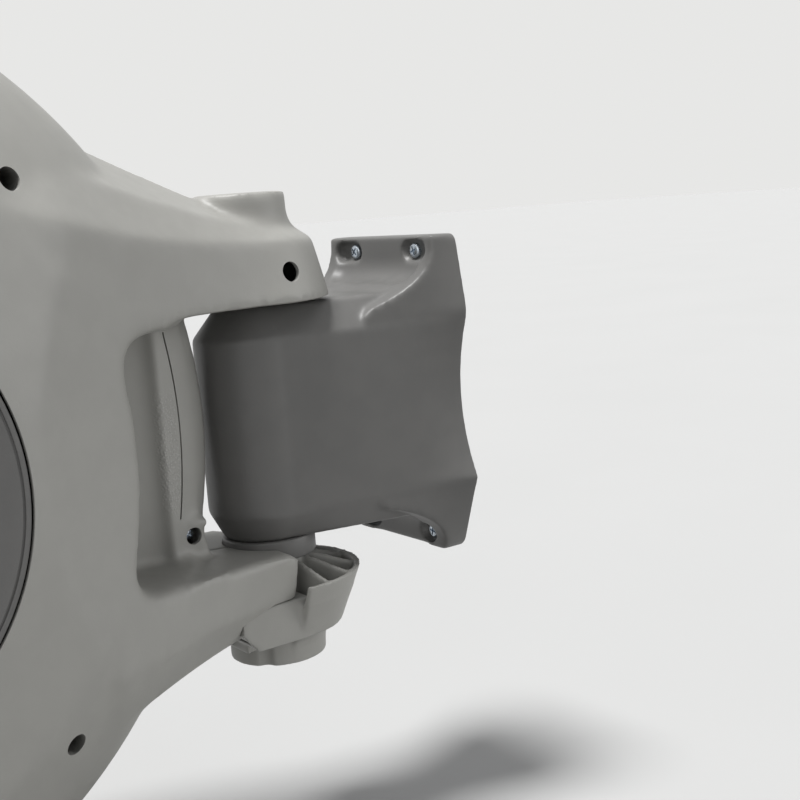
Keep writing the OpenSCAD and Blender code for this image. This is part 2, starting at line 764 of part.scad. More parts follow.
// Pivot block: a ribbed cup round the lower end of the pin, with a tongue under the lower arm
module pivot_block() color(case_grey) {
    front_edge = -pivot_y - low_tip_back + tongue_gap;
    difference() {
        union() {
            intersection() {
                union() {
                    translate([0, -pivot_y, block_floor_z]) difference() {
                        cylinder(r1 = block_low_r, r2 = block_r, h = block_cup_h);
                        translate([0, 0, block_floor_t])
                            cylinder(r1 = block_low_r - block_wall, r2 = block_r - block_wall,
                                h = block_cup_h - block_floor_t + running);
                    }
                    translate([0, -pivot_y, 0]) for (i = [0:rib_count - 1])
                        rotate([0, 0, 90 + (i - (rib_count - 1) / 2) * rib_angle]) rotate([90, 0, 0])
                            translate([0, 0, -rib_t / 2]) linear_extrude(height = rib_t)
                                polygon([[block_hub_r - over, block_floor_z + over],
                                    [block_low_r - over, block_floor_z + over],
                                    [block_r - block_wall / 2, block_rim_z - over],
                                    [block_r - 2 * block_wall, block_rim_z],
                                    [block_hub_r - over, ledge_z - loose]]);
                }
                translate([-block_r, front_edge, -casing_r]) cube([2 * block_r, 2 * block_r, casing_r]);
            }
            difference() {
                translate([-tongue_w, front_edge - tongue_l, block_floor_z])
                    cube([2 * tongue_w, tongue_l + low_tip_back, block_cup_h - tongue_drop]);
                translate([-tongue_w + tongue_wall, front_edge - tongue_l + tongue_wall,
                    block_floor_z + tongue_wall])
                    cube([2 * (tongue_w - tongue_wall), tongue_l - 2 * tongue_wall, block_cup_h]);
            }
            translate([0, -pivot_y, block_floor_z])
                cylinder(r = block_hub_r, h = ledge_z - loose - block_floor_z);
            translate([0, -pivot_y, block_low_z]) cylinder(r = block_boss_r, h = block_boss_h + over);
            for (x = [-1, 1]) translate([x * block_screw_x, -pivot_y - block_screw_back, block_floor_z])
                cylinder(r = rim_boss_r, h = block_cup_h - tongue_drop);
        }
        translate([0, -pivot_y, pin_low_z]) cylinder(r = pin_r + running, h = casing_r);
        for (x = [-1, 1]) translate([x * block_screw_x, -pivot_y - block_screw_back,
            block_floor_z - block_boss_h]) {
            cylinder(r = screw_r + running, h = casing_r);
            cylinder(r = screw_hole_r, h = block_boss_h + block_cup_h - tongue_drop - screw_seat);
        }
    }
}

module block_screws() color(steel)
    for (x = [-1, 1]) translate([x * block_screw_x, -pivot_y - block_screw_back, tongue_top_z - screw_seat])
        mirror([0, 0, 1]) one_screw(screw_seat + low_crease_drop / 2);

// Axle and drum

module axle() color(steel) on_drum(x = elbow_mid_x) difference() {
    cylinder(r = axle_r, h = inner_x - loose - elbow_mid_x);
    translate([0, 0, -over]) cylinder(d = water_d, h = swivel_x + swivel_l - elbow_mid_x);
}

module axle_clips() color(steel)
    for (side = [0, 1]) mirror([side, 0, 0]) on_drum(x = flange_out + loose)
        tube(axle_r + clip_wall, axle_r, clip_t);

module spring_arbor() color(black) on_drum(x = spring_x) tube(arbor_r, axle_r, spring_w);

module drum_core() color(black) difference() {
    union() {
        on_drum(x = -drum_x) tube(core_r, core_r - core_wall, drum_w);
        on_drum(x = -drum_x) cylinder(r = core_r - over, h = web_t);
        on_drum(x = -drum_x) cylinder(r = hub_r, h = bearing_l);
        on_drum(x = mid_web_x) tube(core_r - over, arbor_r + loose, web_t);
    }
    on_drum(x = -drum_x - over) cylinder(r = bearing_r, h = bearing_l + 2 * over);
    on_drum(x = -drum_x - over) at_drum_screws()
        cylinder(r = drum_screw_r + running, h = drum_screw_bite + 2 * over);
    translate([swivel_x + swivel_l / 2, drum_y, drum_z]) cylinder(r = tail_r + running, h = casing_r);
}

// Places the children at each screw of a flange
module at_drum_screws() {
    for (i = [0:drum_screw_count - 1]) rotate([0, 0, i * 360 / drum_screw_count])
        translate([drum_screw_ring, 0, 0]) children();
}

module drum_flange() {
    on_drum(x = drum_x) difference() {
        cylinder(r = flange_r, h = flange_t, $fn = 96);
        translate([0, 0, -over]) cylinder(r = hub_r, h = flange_t + 2 * over);
        at_drum_screws() translate([0, 0, -over])
            cylinder(r = drum_screw_r + running, h = flange_t + 2 * over);
    }
}

module drum_flange_right() color(black) drum_flange();

module drum_flange_left() color(black) mirror([1, 0, 0]) drum_flange();

module bearing() {
    on_drum(x = flange_out - bearing_l) tube(bearing_r, axle_r + running, bearing_l);
}

module bearing_right() color(white) bearing();

module bearing_left() color(white) mirror([1, 0, 0]) bearing();

module spring_cover() color(black) on_drum(x = drum_x - web_t) difference() {
    cylinder(r = core_r - core_wall - running, h = web_t);
    translate([0, 0, -over]) cylinder(r = bearing_r, h = web_t + 2 * over);
    at_drum_screws() translate([0, 0, -over]) cylinder(r = drum_screw_r + running, h = web_t + 2 * over);
}

// Flat spring wound from the arbor out to the core
spring_steps = spring_turns * 360 / spring_step;
spring_gain = (spring_outer_r - spring_inner_r) / spring_steps;
function spring_at(i, r) =
    (spring_inner_r + spring_gain * i + r) * [cos(i * spring_step), sin(i * spring_step)];

module mainspring() color(steel) on_drum(x = spring_x) linear_extrude(height = spring_w)
    polygon(concat([for (i = [0:spring_steps]) spring_at(i, 0)],
        [for (i = [spring_steps:-1:0]) spring_at(i, spring_t)]));

module ratchet_wheel() color(white) on_drum(x = flange_out) rotate([0, 0, 180 - pawl_bite_angle])
    difference() {
    cylinder(r = ratchet_tip_r, h = ratchet_t, $fn = 96);
    translate([0, 0, -over]) cylinder(r = ratchet_inner_r, h = ratchet_t + 2 * over);
    gap = 2 * PI * ratchet_tip_r / ratchet_teeth * ratchet_gap_share;
    for (i = [0:ratchet_teeth - 1]) rotate([0, 0, i * 360 / ratchet_teeth])
        translate([ratchet_root_r, -gap / 2, -over])
            cube([2 * (ratchet_tip_r - ratchet_root_r), gap, ratchet_t + 2 * over]);
}

// The line of gears runs at train_angle from +Y towards +Z, which is this angle about the turned Z
module gear(teeth, phase, inner, x, y, z) {
    on_drum(y, z, x - gear_t) rotate([0, 0, 90 + train_angle + phase]) linear_extrude(height = gear_t)
        difference() {
        gear_shape(teeth);
        circle(r = inner);
    }
}

module drive_gear() color(white) difference() {
    gear(drive_teeth, 0, drum_screw_ring - drum_screw_head_r - gear_lip, -flange_out, drum_y, drum_z);
    on_drum(x = -flange_out - gear_t - over) at_drum_screws()
        cylinder(r = drum_screw_r + running, h = gear_t + 2 * over);
}

module idler_gear() color(white)
    gear(idler_teeth, 180 / idler_teeth, idler_pin_r + running, -flange_out - gear_gap / 2, idler_y,
        idler_z);

module screw_gear() color(white)
    gear(screw_teeth, 180, journal_r, -flange_out - gear_gap / 2, screw_y, screw_z);

module idler_pin() color(steel) on_drum(idler_y, idler_z, loose - inner_x)
    cylinder(r = idler_pin_r, h = inner_x - loose - flange_out - gear_gap / 2);

module swivel_hub() color(white) on_drum(x = swivel_x) difference() {
    cylinder(r = swivel_r, h = swivel_l);
    translate([0, 0, -over]) cylinder(r = axle_r + running, h = swivel_l + 2 * over);
    for (h = [1, 3]) translate([0, 0, h * swivel_l / 4]) rotate_extrude()
        translate([axle_r + seal_d / 2, 0])
            square([seal_d + 2 * running, seal_d + 2 * running], center = true);
    translate([0, 0, swivel_l / 2]) rotate([0, -90, 0]) cylinder(r = tail_bore_r, h = swivel_r + over);
}

module swivel_seals() color(black) on_drum(x = swivel_x)
    for (h = [1, 3]) translate([0, 0, h * swivel_l / 4]) rotate_extrude()
        translate([axle_r + running + seal_d / 2, 0]) circle(d = seal_d, $fn = 24);

module hose_tail() color(white) translate([swivel_x + swivel_l / 2, drum_y, drum_z]) difference() {
    union() {
        translate([0, 0, swivel_r]) cylinder(r = tail_r, h = core_r - swivel_r + tail_proud);
        for (i = [1:3]) translate([0, 0, core_r + tail_proud - i * barb_l])
            cylinder(r1 = tail_r + barb_h, r2 = tail_r, h = barb_l);
    }
    translate([0, 0, swivel_r - over]) cylinder(r = tail_bore_r, h = core_r + tail_proud);
}

// The left screws also hold the drive gear
module drum_screws() color(steel)
    for (side = [0, 1]) mirror([side, 0, 0]) on_drum(x = flange_out + side * gear_t) at_drum_screws() {
        grip = flange_t + side * gear_t + drum_screw_bite;
        cylinder(r = drum_screw_head_r, h = drum_screw_head_t);
        translate([0, 0, -grip]) cylinder(r = drum_screw_r, h = grip);
    }

module traverse_screw() color(steel) on_drum(screw_y, screw_z) {
    end = front_x - casing_wall - loose;
    translate([0, 0, -end]) cylinder(r = journal_r, h = 2 * end);
    translate([0, 0, -flange_out]) cylinder(r = screw_rad, h = 2 * flange_out);
}

module guide_rod() color(steel) on_drum(screw_y, rod_z, casing_wall + loose - front_x)
    cylinder(r = rod_r, h = 2 * (front_x - casing_wall - loose));

module hose_guide() color(black) {
    top = screw_z + screw_rad + guide_wall;
    low = rod_z - rod_r - guide_wall;
    difference() {
        translate([-guide_w / 2, screw_y - guide_depth / 2, low]) cube([guide_w, guide_depth, top - low]);
        on_drum(screw_y, screw_z, -guide_w) cylinder(r = screw_rad + running, h = 2 * guide_w);
        on_drum(screw_y, rod_z, -guide_w) cylinder(r = rod_r + running, h = 2 * guide_w);
        translate([0, screw_y - guide_depth, outlet_z]) rotate([-90, 0, 0])
            cylinder(r = eye_r, h = 2 * guide_depth);
    }
}

// Pawl above the ratchet wheel, held off the teeth
module pawl_pin() color(steel) on_drum(z = drum_z + pawl_z, x = flange_out + loose)
    cylinder(r = pawl_pin_r, h = inner_x - flange_out - 2 * loose);

module pawl() color(steel) on_drum(z = drum_z + pawl_z, x = flange_out + loose) difference() {
    tip = ratchet_tip_r + pawl_clear;
    union() {
        cylinder(r = pawl_hub_r, h = pawl_t);
        translate([-pawl_w / 2, 0, 0]) cube([pawl_w, pawl_reach, pawl_t]);
        translate([0, pawl_reach - pawl_tip_w, 0]) cube([pawl_z - tip, pawl_tip_w, pawl_t]);
    }
    translate([0, 0, -over]) cylinder(r = pawl_pin_r + running, h = pawl_t + 2 * over);
}

module pawl_spring() color(steel) on_drum(z = drum_z + pawl_z, x = flange_out + ratchet_t + gear_gap)
    tube(pawl_hub_r, pawl_boss_r + running, pawl_spring_l);

// Hose outlet

module outlet_frame() color(dark_grey) difference() {
    bezel = sleeve_out + bezel_rim;
    union() {
        translate([-bezel, front_y - bezel_t, outlet_z - bezel]) cube([2 * bezel, bezel_t, 2 * bezel]);
        translate([-sleeve_out, front_y - over, outlet_z - sleeve_out])
            cube([2 * sleeve_out, sleeve_l, 2 * sleeve_out]);
    }
    translate([-sleeve_half, front_y - bezel_t - over, outlet_z - sleeve_half])
        cube([2 * sleeve_half, sleeve_l + 2 * bezel_t, 2 * sleeve_half]);
    at_roller_pins() translate([0, 0, -running])
        cylinder(r = roller_pin_r + running, h = roller_pin_l() + 2 * running);
}

function roller_pin_l() = 2 * sleeve_half + sleeve_wall;

// Places the children at the start of each roller pin, with their Z along it: top, bottom, right, left
module at_roller_pin(i) {
    side = i % 2 == 0 ? 1 : -1;
    if (i < 2)
        on_drum(row_front_y, outlet_z + side * roller_off, -roller_pin_l() / 2) children();
    else
        translate([side * roller_off, row_back_y, outlet_z - roller_pin_l() / 2]) children();
}

module at_roller_pins() {
    for (i = [0:3]) at_roller_pin(i) children();
}

module roller_pins() color(steel) at_roller_pins() cylinder(r = roller_pin_r, h = roller_pin_l());

module outlet_roller(i) color(black) at_roller_pin(i) translate([0, 0, sleeve_wall / 2 + roller_end])
    tube(roller_r, roller_pin_r + running, 2 * (sleeve_half - roller_end));

module outlet_roller_top() outlet_roller(0);

module outlet_roller_bottom() outlet_roller(1);

module outlet_roller_right() outlet_roller(2);

module outlet_roller_left() outlet_roller(3);

// Water inlet

module inlet_elbow() color(dark_grey) difference() {
    union() {
        on_drum(x = elbow_x - elbow_l) cylinder(r = elbow_r, h = elbow_l);
        translate([elbow_mid_x, drum_y, drum_z - elbow_drop]) cylinder(r = elbow_neck_r, h = elbow_drop);
    }
    on_drum(x = elbow_mid_x) cylinder(r = axle_r + running, h = elbow_l);
    on_drum(x = elbow_mid_x - water_d / 2) cylinder(d = water_d, h = elbow_l);
    translate([elbow_mid_x, drum_y, drum_z - elbow_drop - over])
        cylinder(d = water_d, h = elbow_drop + over);
}

module inlet_nipple() color(dark_grey)
    translate([elbow_mid_x, drum_y, drum_z - elbow_drop - nipple_flange_t - nipple_l])
    difference() {
        union() {
            cylinder(d = nipple_d, h = nipple_l + over);
            translate([0, 0, nipple_l]) cylinder(r = nipple_flange_r, h = nipple_flange_t);
        }
        translate([0, 0, -over]) cylinder(d = water_d - nipple_ring_d,
            h = nipple_l + nipple_flange_t + 2 * over);
        translate([0, 0, nipple_l + nipple_flange_t]) rotate_extrude()
            translate([(water_d + inlet_seal_d) / 2, 0])
                square([2 * inlet_seal_d, inlet_seal_d], center = true);
    }

module inlet_seal() color(black) translate([elbow_mid_x, drum_y, drum_z - elbow_drop - inlet_seal_d / 4])
    rotate_extrude() translate([(water_d + inlet_seal_d) / 2, 0])
        square([inlet_seal_d, inlet_seal_d / 2], center = true);

wall_bracket();
upper_bush();
lower_bush();
casing_right();
casing_left();
side_cover_right();
side_cover_left();
pivot_pin();
pivot_block();
casing_screws();
block_screws();
axle();
axle_clips();
spring_arbor();
inlet_elbow();
inlet_nipple();
inlet_seal();
outlet_frame();
roller_pins();
guide_rod();
idler_pin();
pawl_pin();
pawl_spring();
drum_core();
drum_flange_right();
drum_flange_left();
bearing_right();
bearing_left();
spring_cover();
mainspring();
ratchet_wheel();
drive_gear();
swivel_hub();
swivel_seals();
hose_tail();
drum_screws();
idler_gear();
traverse_screw();
screw_gear();
hose_guide();
pawl();
outlet_roller_top();
outlet_roller_bottom();
outlet_roller_right();
outlet_roller_left();
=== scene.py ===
# %% [markdown]
# # A wall mounted hose reel, dressed for the camera
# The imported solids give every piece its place. This lesson loads them, puts a camera where the photographer
# stood, remodels the mouldings that the eye falls on with soft edges, and gives each piece its own finish.

# %% Load the frame
import bpy
import json
import math
from mathutils import Matrix, Vector


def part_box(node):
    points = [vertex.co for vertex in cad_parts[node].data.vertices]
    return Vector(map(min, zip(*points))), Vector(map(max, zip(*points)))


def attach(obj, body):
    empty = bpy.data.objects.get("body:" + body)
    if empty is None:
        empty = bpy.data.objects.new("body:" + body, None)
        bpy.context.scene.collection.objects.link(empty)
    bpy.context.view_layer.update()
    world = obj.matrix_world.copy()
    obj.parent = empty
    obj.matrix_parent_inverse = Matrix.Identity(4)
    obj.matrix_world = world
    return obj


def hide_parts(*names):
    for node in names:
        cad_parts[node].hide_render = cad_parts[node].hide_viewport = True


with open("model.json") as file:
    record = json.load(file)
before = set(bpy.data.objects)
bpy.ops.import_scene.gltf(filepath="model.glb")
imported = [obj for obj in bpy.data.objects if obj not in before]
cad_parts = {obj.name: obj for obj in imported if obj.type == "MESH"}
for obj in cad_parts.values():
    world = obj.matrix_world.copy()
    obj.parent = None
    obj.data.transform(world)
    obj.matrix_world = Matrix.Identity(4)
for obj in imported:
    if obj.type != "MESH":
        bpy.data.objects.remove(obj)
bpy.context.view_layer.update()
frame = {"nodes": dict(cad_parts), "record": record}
nodes = frame["nodes"]
MM = 0.001

# %% [markdown]
# ## Camera
# The photo is a close view of the wall bracket from the right, a little above the pivot, with the camera
# slightly tilted. The three directions below are the camera's own right, up and forward, found by fitting a
# pinhole camera to corners of the bracket, so the lens has no shift and the picture needs no cropping.

# %% Camera
camera_right = Vector((0.5897, 0.8043, -0.0723))
camera_up = Vector((-0.0829, 0.1494, 0.9853))
camera_look = Vector((-0.8033, 0.5751, -0.1547))
camera_place = Vector((0.626, -0.454, 0.113))
camera_data = bpy.data.cameras.new("photo_camera")
camera_data.sensor_width = 36.0
camera_data.lens = 56.36
camera = bpy.data.objects.new("photo_camera", camera_data)
bpy.context.scene.collection.objects.link(camera)
camera_rows = [[camera_right[i], camera_up[i], -camera_look[i], camera_place[i]] for i in range(3)]
camera.matrix_world = Matrix(camera_rows + [[0, 0, 0, 1]])
bpy.context.scene.camera = camera
bpy.context.scene.view_settings.view_transform = "Standard"
print("camera at", tuple(round(v, 3) for v in camera_place))

# %% [markdown]
# ## Shader maths as Python
# A node tree is a sum written with boxes. The class below wraps one socket, so that `1 - mask * 0.4` adds the
# Math nodes by itself, and one method makes any other node from its type, its settings and its inputs. Colours
# are mixed by a Mix node, because a Math node would turn them grey.

# %% A socket that can be calculated with
class Wire:
    """A socket of a node tree. Arithmetic on it adds Math nodes."""

    def __init__(self, tree, socket=None):
        self.tree = tree
        self.socket = socket

    def plug(self, value, socket):
        """Links what varies, and sets what is the same all over on the socket itself."""
        if isinstance(value, Wire):
            self.tree.links.new(value.socket, socket)
        else:
            socket.default_value = value

    def node(self, kind, settings=None, inputs=None, out=0):
        """Any node: its settings come first, then a value or a link for each socket."""
        made = self.tree.nodes.new(kind)
        for key, value in (settings or {}).items():
            setattr(made, key, value)
        for key, value in (inputs or {}).items():
            self.plug(value, made.inputs[key])
        return Wire(self.tree, made.outputs[out])

    def math(self, operation, first, second):
        return self.node("ShaderNodeMath", {"operation": operation}, {0: first, 1: second})

    def __add__(self, other):
        return self.math("ADD", self, other)

    __radd__ = __add__

    def __mul__(self, other):
        return self.math("MULTIPLY", self, other)

    __rmul__ = __mul__

    def __sub__(self, other):
        return self.math("SUBTRACT", self, other)

    def __rsub__(self, other):
        return self.math("SUBTRACT", other, self)

    def noise(self, scale, detail):
        """Cloudy values from 0 to 1, the same number of clouds for each metre."""
        return self.node("ShaderNodeTexNoise", None, {"Vector": self, "Scale": scale, "Detail": detail})

    def cells(self, scale):
        """Distance to the nearest of many scattered points."""
        return self.node("ShaderNodeTexVoronoi", None, {"Vector": self, "Scale": scale})

    def steps(self, low, high):
        """0 below low, 1 above high, and a ramp between."""
        return self.node("ShaderNodeMapRange", None, {0: self, 1: low, 2: high, 3: 0.0, 4: 1.0})

    def mix(self, mask, low, high):
        """A colour between two others, by a mask."""
        low, high = ((*colour, 1) if isinstance(colour, tuple) else colour for colour in (low, high))
        return self.node("ShaderNodeMix", {"data_type": "RGBA"}, {0: mask, 6: low, 7: high}, out=2)

    def bump(self, height, strength, depth):
        """Tilts the light as if the surface rose by height, to a depth in metres."""
        return self.node("ShaderNodeBump", None, {"Strength": strength, "Distance": depth, "Height": height})


def new_finish(name):
    """An empty material, its shader and the place on the piece."""
    finish = bpy.data.materials.new(name)
    finish.use_nodes = True
    shader = finish.node_tree.nodes["Principled BSDF"]
    return finish, shader, Wire(finish.node_tree).node("ShaderNodeTexCoord", out="Object")


def feed(shader, place, values):
    for key, value in values.items():
        place.plug(value, shader.inputs[key])


print("shader maths ready")

# %% [markdown]
# ## Floor and light
# A pale floor and an even pale sky keep the eye on the plastic. The main light comes from high on the left, so
# that the roof and the bevels are the brightest faces. Two weak ones fill the right and the wall side. All three
# are sun lamps with a wide disc: their light is as soft as a large panel's, but leaves no bright pool on the floor.
# The sky that is seen is brighter than the one that lights, so the background is pale at a plain level of light.

# %% Floor
floor_z = -0.262
bpy.ops.object.select_all(action="DESELECT")
bpy.ops.mesh.primitive_plane_add(size=60, location=(0, 0, floor_z))
floor = bpy.context.object
floor.name = "studio_floor"
floor.data.transform(floor.matrix_world)
floor.matrix_world = Matrix.Identity(4)
floor_finish, floor_shader, floor_place = new_finish("pale_floor")
floor_tint = floor_place.mix(floor_place.noise(3.0, 3.0), (0.372, 0.372, 0.368), (0.388, 0.388, 0.384))
feed(floor_shader, floor_place, {"Base Color": floor_tint, "Roughness": 0.9})
floor.data.materials.append(floor_finish)
print("floor at", floor_z)

# %% Sky and lamps
world = bpy.data.worlds.new("studio_sky")
bpy.context.scene.world = world
world.use_nodes = True
sky = Wire(world.node_tree)
lighting_sky = sky.node("ShaderNodeBackground", None, {"Color": (0.86, 0.87, 0.89, 1), "Strength": 0.54})
seen_sky = sky.node("ShaderNodeBackground", None, {"Color": (0.80, 0.80, 0.79, 1)})
to_camera, to_gloss, to_glass = (sky.node("ShaderNodeLightPath", out=f"Is {ray} Ray")
                                 for ray in ("Camera", "Glossy", "Transmission"))
is_seen = sky.math("MAXIMUM", sky.math("MAXIMUM", to_camera, to_gloss), to_glass)
both_skies = sky.node("ShaderNodeMixShader", None, {0: is_seen, 1: lighting_sky, 2: seen_sky})
sky.plug(both_skies, world.node_tree.nodes["World Output"].inputs["Surface"])


def soft_sun(name, direction, strength, spread):
    """Even light from far away, with soft shadows."""
    lamp = bpy.data.lights.new(name, "SUN")
    lamp.energy = strength
    lamp.angle = math.radians(spread)
    stand = bpy.data.objects.new(name, lamp)
    bpy.context.scene.collection.objects.link(stand)
    stand.matrix_world = Vector(direction).to_track_quat("-Z", "Y").to_matrix().to_4x4()


soft_sun("sun_side", (0.02, 0.50, -1.65), 4.9, 17)
soft_sun("camera_side", (-1.0, 1.1, -0.45), 0.25, 40)
soft_sun("wall_bounce", (-0.40, -0.53, -0.10), 0.85, 30)
print("lamps:", len(bpy.data.lights))

# %% [markdown]
# ## Moulded plastic
# The casing and the bracket are grained polypropylene. Four things make it read as plastic and not as paint: a
# fine grain in the surface, faint clouds in the colour where the melt flowed, faces that look up painted paler,
# partly as dust and partly as painted light from above, and edges that are rubbed a little lighter. All of it
# follows the piece, so it stays put when the reel swings. The grip strip of the casing also has a patch of small
# raised dots, where a thumb needs hold; their tops take the paler colour too.

# %% Plastic finishes
def thumb_dots(place):
    """Raised dots, 1 on top, on the half of the grip strip that is next to the finger recess."""
    x, y, z = (place.node("ShaderNodeSeparateXYZ", None, {0: place}, out=axis) for axis in "XYZ")
    patch = y.steps(-0.180, -0.174) * (1 - y.steps(-0.1668, -0.1648)) * z.steps(-0.046, -0.036)
    patch = patch * (1 - z.steps(0.016, 0.026)) * (1 - x.steps(0.026, 0.032)) * x.steps(0.004, 0.008)
    return (1 - place.cells(620.0).steps(0.15, 0.55)) * patch


def moulded_plastic(name, colour, clouds, pale_dust_and_light, grain, depth, rough, dotted=False):
    finish, shader, place = new_finish(name)
    flow = place.noise(7.0, 4.0).steps(0.35, 0.65)
    mottle = place.noise(60.0, 3.0).steps(0.4, 0.6)
    facing = place.node("ShaderNodeNewGeometry", out="Normal")
    upward = place.node("ShaderNodeSeparateXYZ", None, {0: facing}, out="Z")
    # Faces that look up are painted paler: partly settled dust, partly painted light from above.
    upward_dust_and_top_light = upward.steps(0.35, 1.0) * place.noise(160.0, 5.0).steps(0.3, 0.75)
    edges = place.node("ShaderNodeNewGeometry", out="Pointiness").steps(0.515, 0.60)
    rubbed = edges * place.noise(220.0, 4.0).steps(0.35, 0.6)
    coat = place.mix(flow * 0.6 + mottle * 0.4, colour, clouds)
    coat = place.mix(rubbed * 0.45, place.mix(upward_dust_and_top_light * 0.35, coat, pale_dust_and_light), pale_dust_and_light)
    skin = place.noise(grain, 2.0) + place.noise(grain * 0.4, 1.0) * 0.6
    if dotted:
        raised = thumb_dots(place)
        coat = place.mix(raised * 0.75, coat, pale_dust_and_light)
        skin = skin + raised * 9.0
    feed(shader, place, {"Base Color": coat, "Roughness": place.noise(40.0, 3.0) * 0.16 + rough,
                         "Normal": place.bump(skin, 0.35, depth), "IOR": 1.47})
    return finish


casing_finish = moulded_plastic("casing_plastic", (0.264, 0.261, 0.243), (0.244, 0.241, 0.225),
                                (0.33, 0.325, 0.31), 1300.0, 0.00012, 0.42, dotted=True)
bracket_finish = moulded_plastic("bracket_plastic", (0.107, 0.105, 0.101), (0.094, 0.093, 0.090),
                                 (0.15, 0.147, 0.141), 1500.0, 0.00010, 0.38)
cover_finish = moulded_plastic("cover_plastic", (0.100, 0.098, 0.095), (0.088, 0.087, 0.085),
                               (0.14, 0.138, 0.132), 1100.0, 0.00016, 0.46)
black_finish = moulded_plastic("black_plastic", (0.017, 0.017, 0.018), (0.024, 0.024, 0.025),
                               (0.05, 0.05, 0.048), 900.0, 0.00010, 0.40)
white_finish = moulded_plastic("bearing_plastic", (0.74, 0.73, 0.69), (0.68, 0.67, 0.63),
                               (0.70, 0.69, 0.65), 700.0, 0.00006, 0.34)
print("plastic finishes: 5")

# %% [markdown]
# ## Metal and rubber
# The pins and screws are zinc plated steel: bright, with fine turned lines, a faint blue cast and the small
# spangles of the plating. The seals are matt rubber with a dusty bloom. A stretched noise gives the turned lines
# without any picture.

# %% Metal and rubber finishes
def zinc_plate(name, bright, blue):
    finish, shader, place = new_finish(name)
    spangle = place.cells(900.0).steps(0.1, 0.7)
    stretched = place.node("ShaderNodeMapping", None, {"Vector": place, "Scale": (400.0, 400.0, 5000.0)})
    lines = stretched.noise(1.0, 3.0)
    feed(shader, place, {"Base Color": place.mix(spangle * 0.5 + lines * 0.5, bright, blue), "Metallic": 1.0,
                         "Roughness": lines * 0.2 + 0.18, "Normal": place.bump(lines, 0.2, 0.00005)})
    return finish


def seal_rubber(name, dark, dusty):
    finish, shader, place = new_finish(name)
    bloom = place.noise(120.0, 4.0).steps(0.35, 0.7)
    feed(shader, place, {"Base Color": place.mix(bloom * 0.5, dark, dusty), "Roughness": bloom * 0.2 + 0.62,
                         "Normal": place.bump(place.noise(1500.0, 2.0), 0.3, 0.0001)})
    return finish


steel_finish = zinc_plate("zinc_steel", (0.62, 0.64, 0.66), (0.40, 0.47, 0.55))
rubber_finish = seal_rubber("seal_rubber", (0.012, 0.012, 0.012), (0.035, 0.035, 0.034))
print("metal and rubber finishes: 2")

# %% [markdown]
# ## A finish for each solid
# The record names a material slot for each node. Solids whose form is right already, most of them inside the
# casing, keep their mesh and only take the finish of their slot. The others are replaced further down.

# %% Finishes on the solids
finish_of_slot = {"casing_grey": casing_finish, "bracket_grey": bracket_finish, "cover_grey": cover_finish,
                  "black_plastic": black_finish, "white_plastic": white_finish, "steel": steel_finish,
                  "rubber": rubber_finish}
slot_of_node = {entry["node"]: entry["material_slot"] for entry in frame["record"]["subparts"]}
for node_name, solid in nodes.items():
    solid.data.materials.clear()
    solid.data.materials.append(finish_of_slot[slot_of_node[node_name]])
print("finished solids:", len(nodes))

# %% [markdown]
# ## Modelling helpers
# Everything below is made the way it is made by hand: a primitive is added, shaped in edit mode, and finished
# with modifiers that are applied at once. These helpers keep the selection clean, because an operator acts on
# all that is selected.

# %% Modelling helpers
def alone(piece):
    """Makes one piece the only selected and active one."""
    if bpy.context.object and bpy.context.object.mode != "OBJECT":
        bpy.ops.object.mode_set(mode="OBJECT")
    bpy.ops.object.select_all(action="DESELECT")
    piece.select_set(True)
    bpy.context.view_layer.objects.active = piece


def edit(piece, select="SELECT"):
    alone(piece)
    bpy.ops.object.mode_set(mode="EDIT")
    bpy.ops.mesh.select_mode(type="VERT")
    bpy.ops.mesh.select_all(action=select)


def leave():
    bpy.ops.object.mode_set(mode="OBJECT")


def apply_modifier(piece, kind, **settings):
    alone(piece)
    modifier = piece.modifiers.new(kind.lower(), kind)
    for key, value in settings.items():
        setattr(modifier, key, value)
    bpy.ops.object.modifier_apply(modifier=modifier.name)


def cut(piece, cutter, operation="DIFFERENCE"):
    """Cuts or joins with a closed cutter, which is then thrown away."""
    apply_modifier(piece, "BOOLEAN", object=cutter, operation=operation, solver="MANIFOLD")
    bpy.data.objects.remove(cutter)


def join(name, pieces):
    bpy.ops.object.select_all(action="DESELECT")
    for piece in pieces:
        piece.select_set(True)
    bpy.context.view_layer.objects.active = pieces[0]
    if len(pieces) > 1:
        bpy.ops.object.join()
    pieces[0].name = name
    return pieces[0]


def ring(name, points):
    """A closed line of points, from a circle whose corners are moved. Millimetres in, metres out."""
    bpy.ops.object.select_all(action="DESELECT")
    bpy.ops.mesh.primitive_circle_add(vertices=len(points), radius=1.0)
    piece = bpy.context.object
    piece.name = name
    for vertex, point in zip(piece.data.vertices, points):
        vertex.co = Vector(point) * MM
    return piece


def prism(name, points, push):
    """A flat outline that is filled and extruded."""
    piece = ring(name, points)
    edit(piece)
    bpy.ops.mesh.edge_face_add()
    bpy.ops.mesh.extrude_region_move(TRANSFORM_OT_translate={"value": Vector(push) * MM})
    bpy.ops.mesh.select_all(action="SELECT")
    bpy.ops.mesh.normals_make_consistent(inside=False)
    leave()
    return piece


def turned(name, points, centre, axis, steps=96):
    """An outline spun right round an axis, as on a lathe."""
    piece = ring(name, points)
    edit(piece)
    bpy.ops.mesh.spin(steps=steps, angle=2 * math.pi, center=Vector(centre) * MM, axis=axis)
    bpy.ops.mesh.select_all(action="SELECT")
    bpy.ops.mesh.remove_doubles(threshold=0.00002)
    bpy.ops.mesh.dissolve_degenerate(threshold=0.00001)
    bpy.ops.mesh.select_all(action="SELECT")
    bpy.ops.mesh.normals_make_consistent(inside=False)
    leave()
    return piece


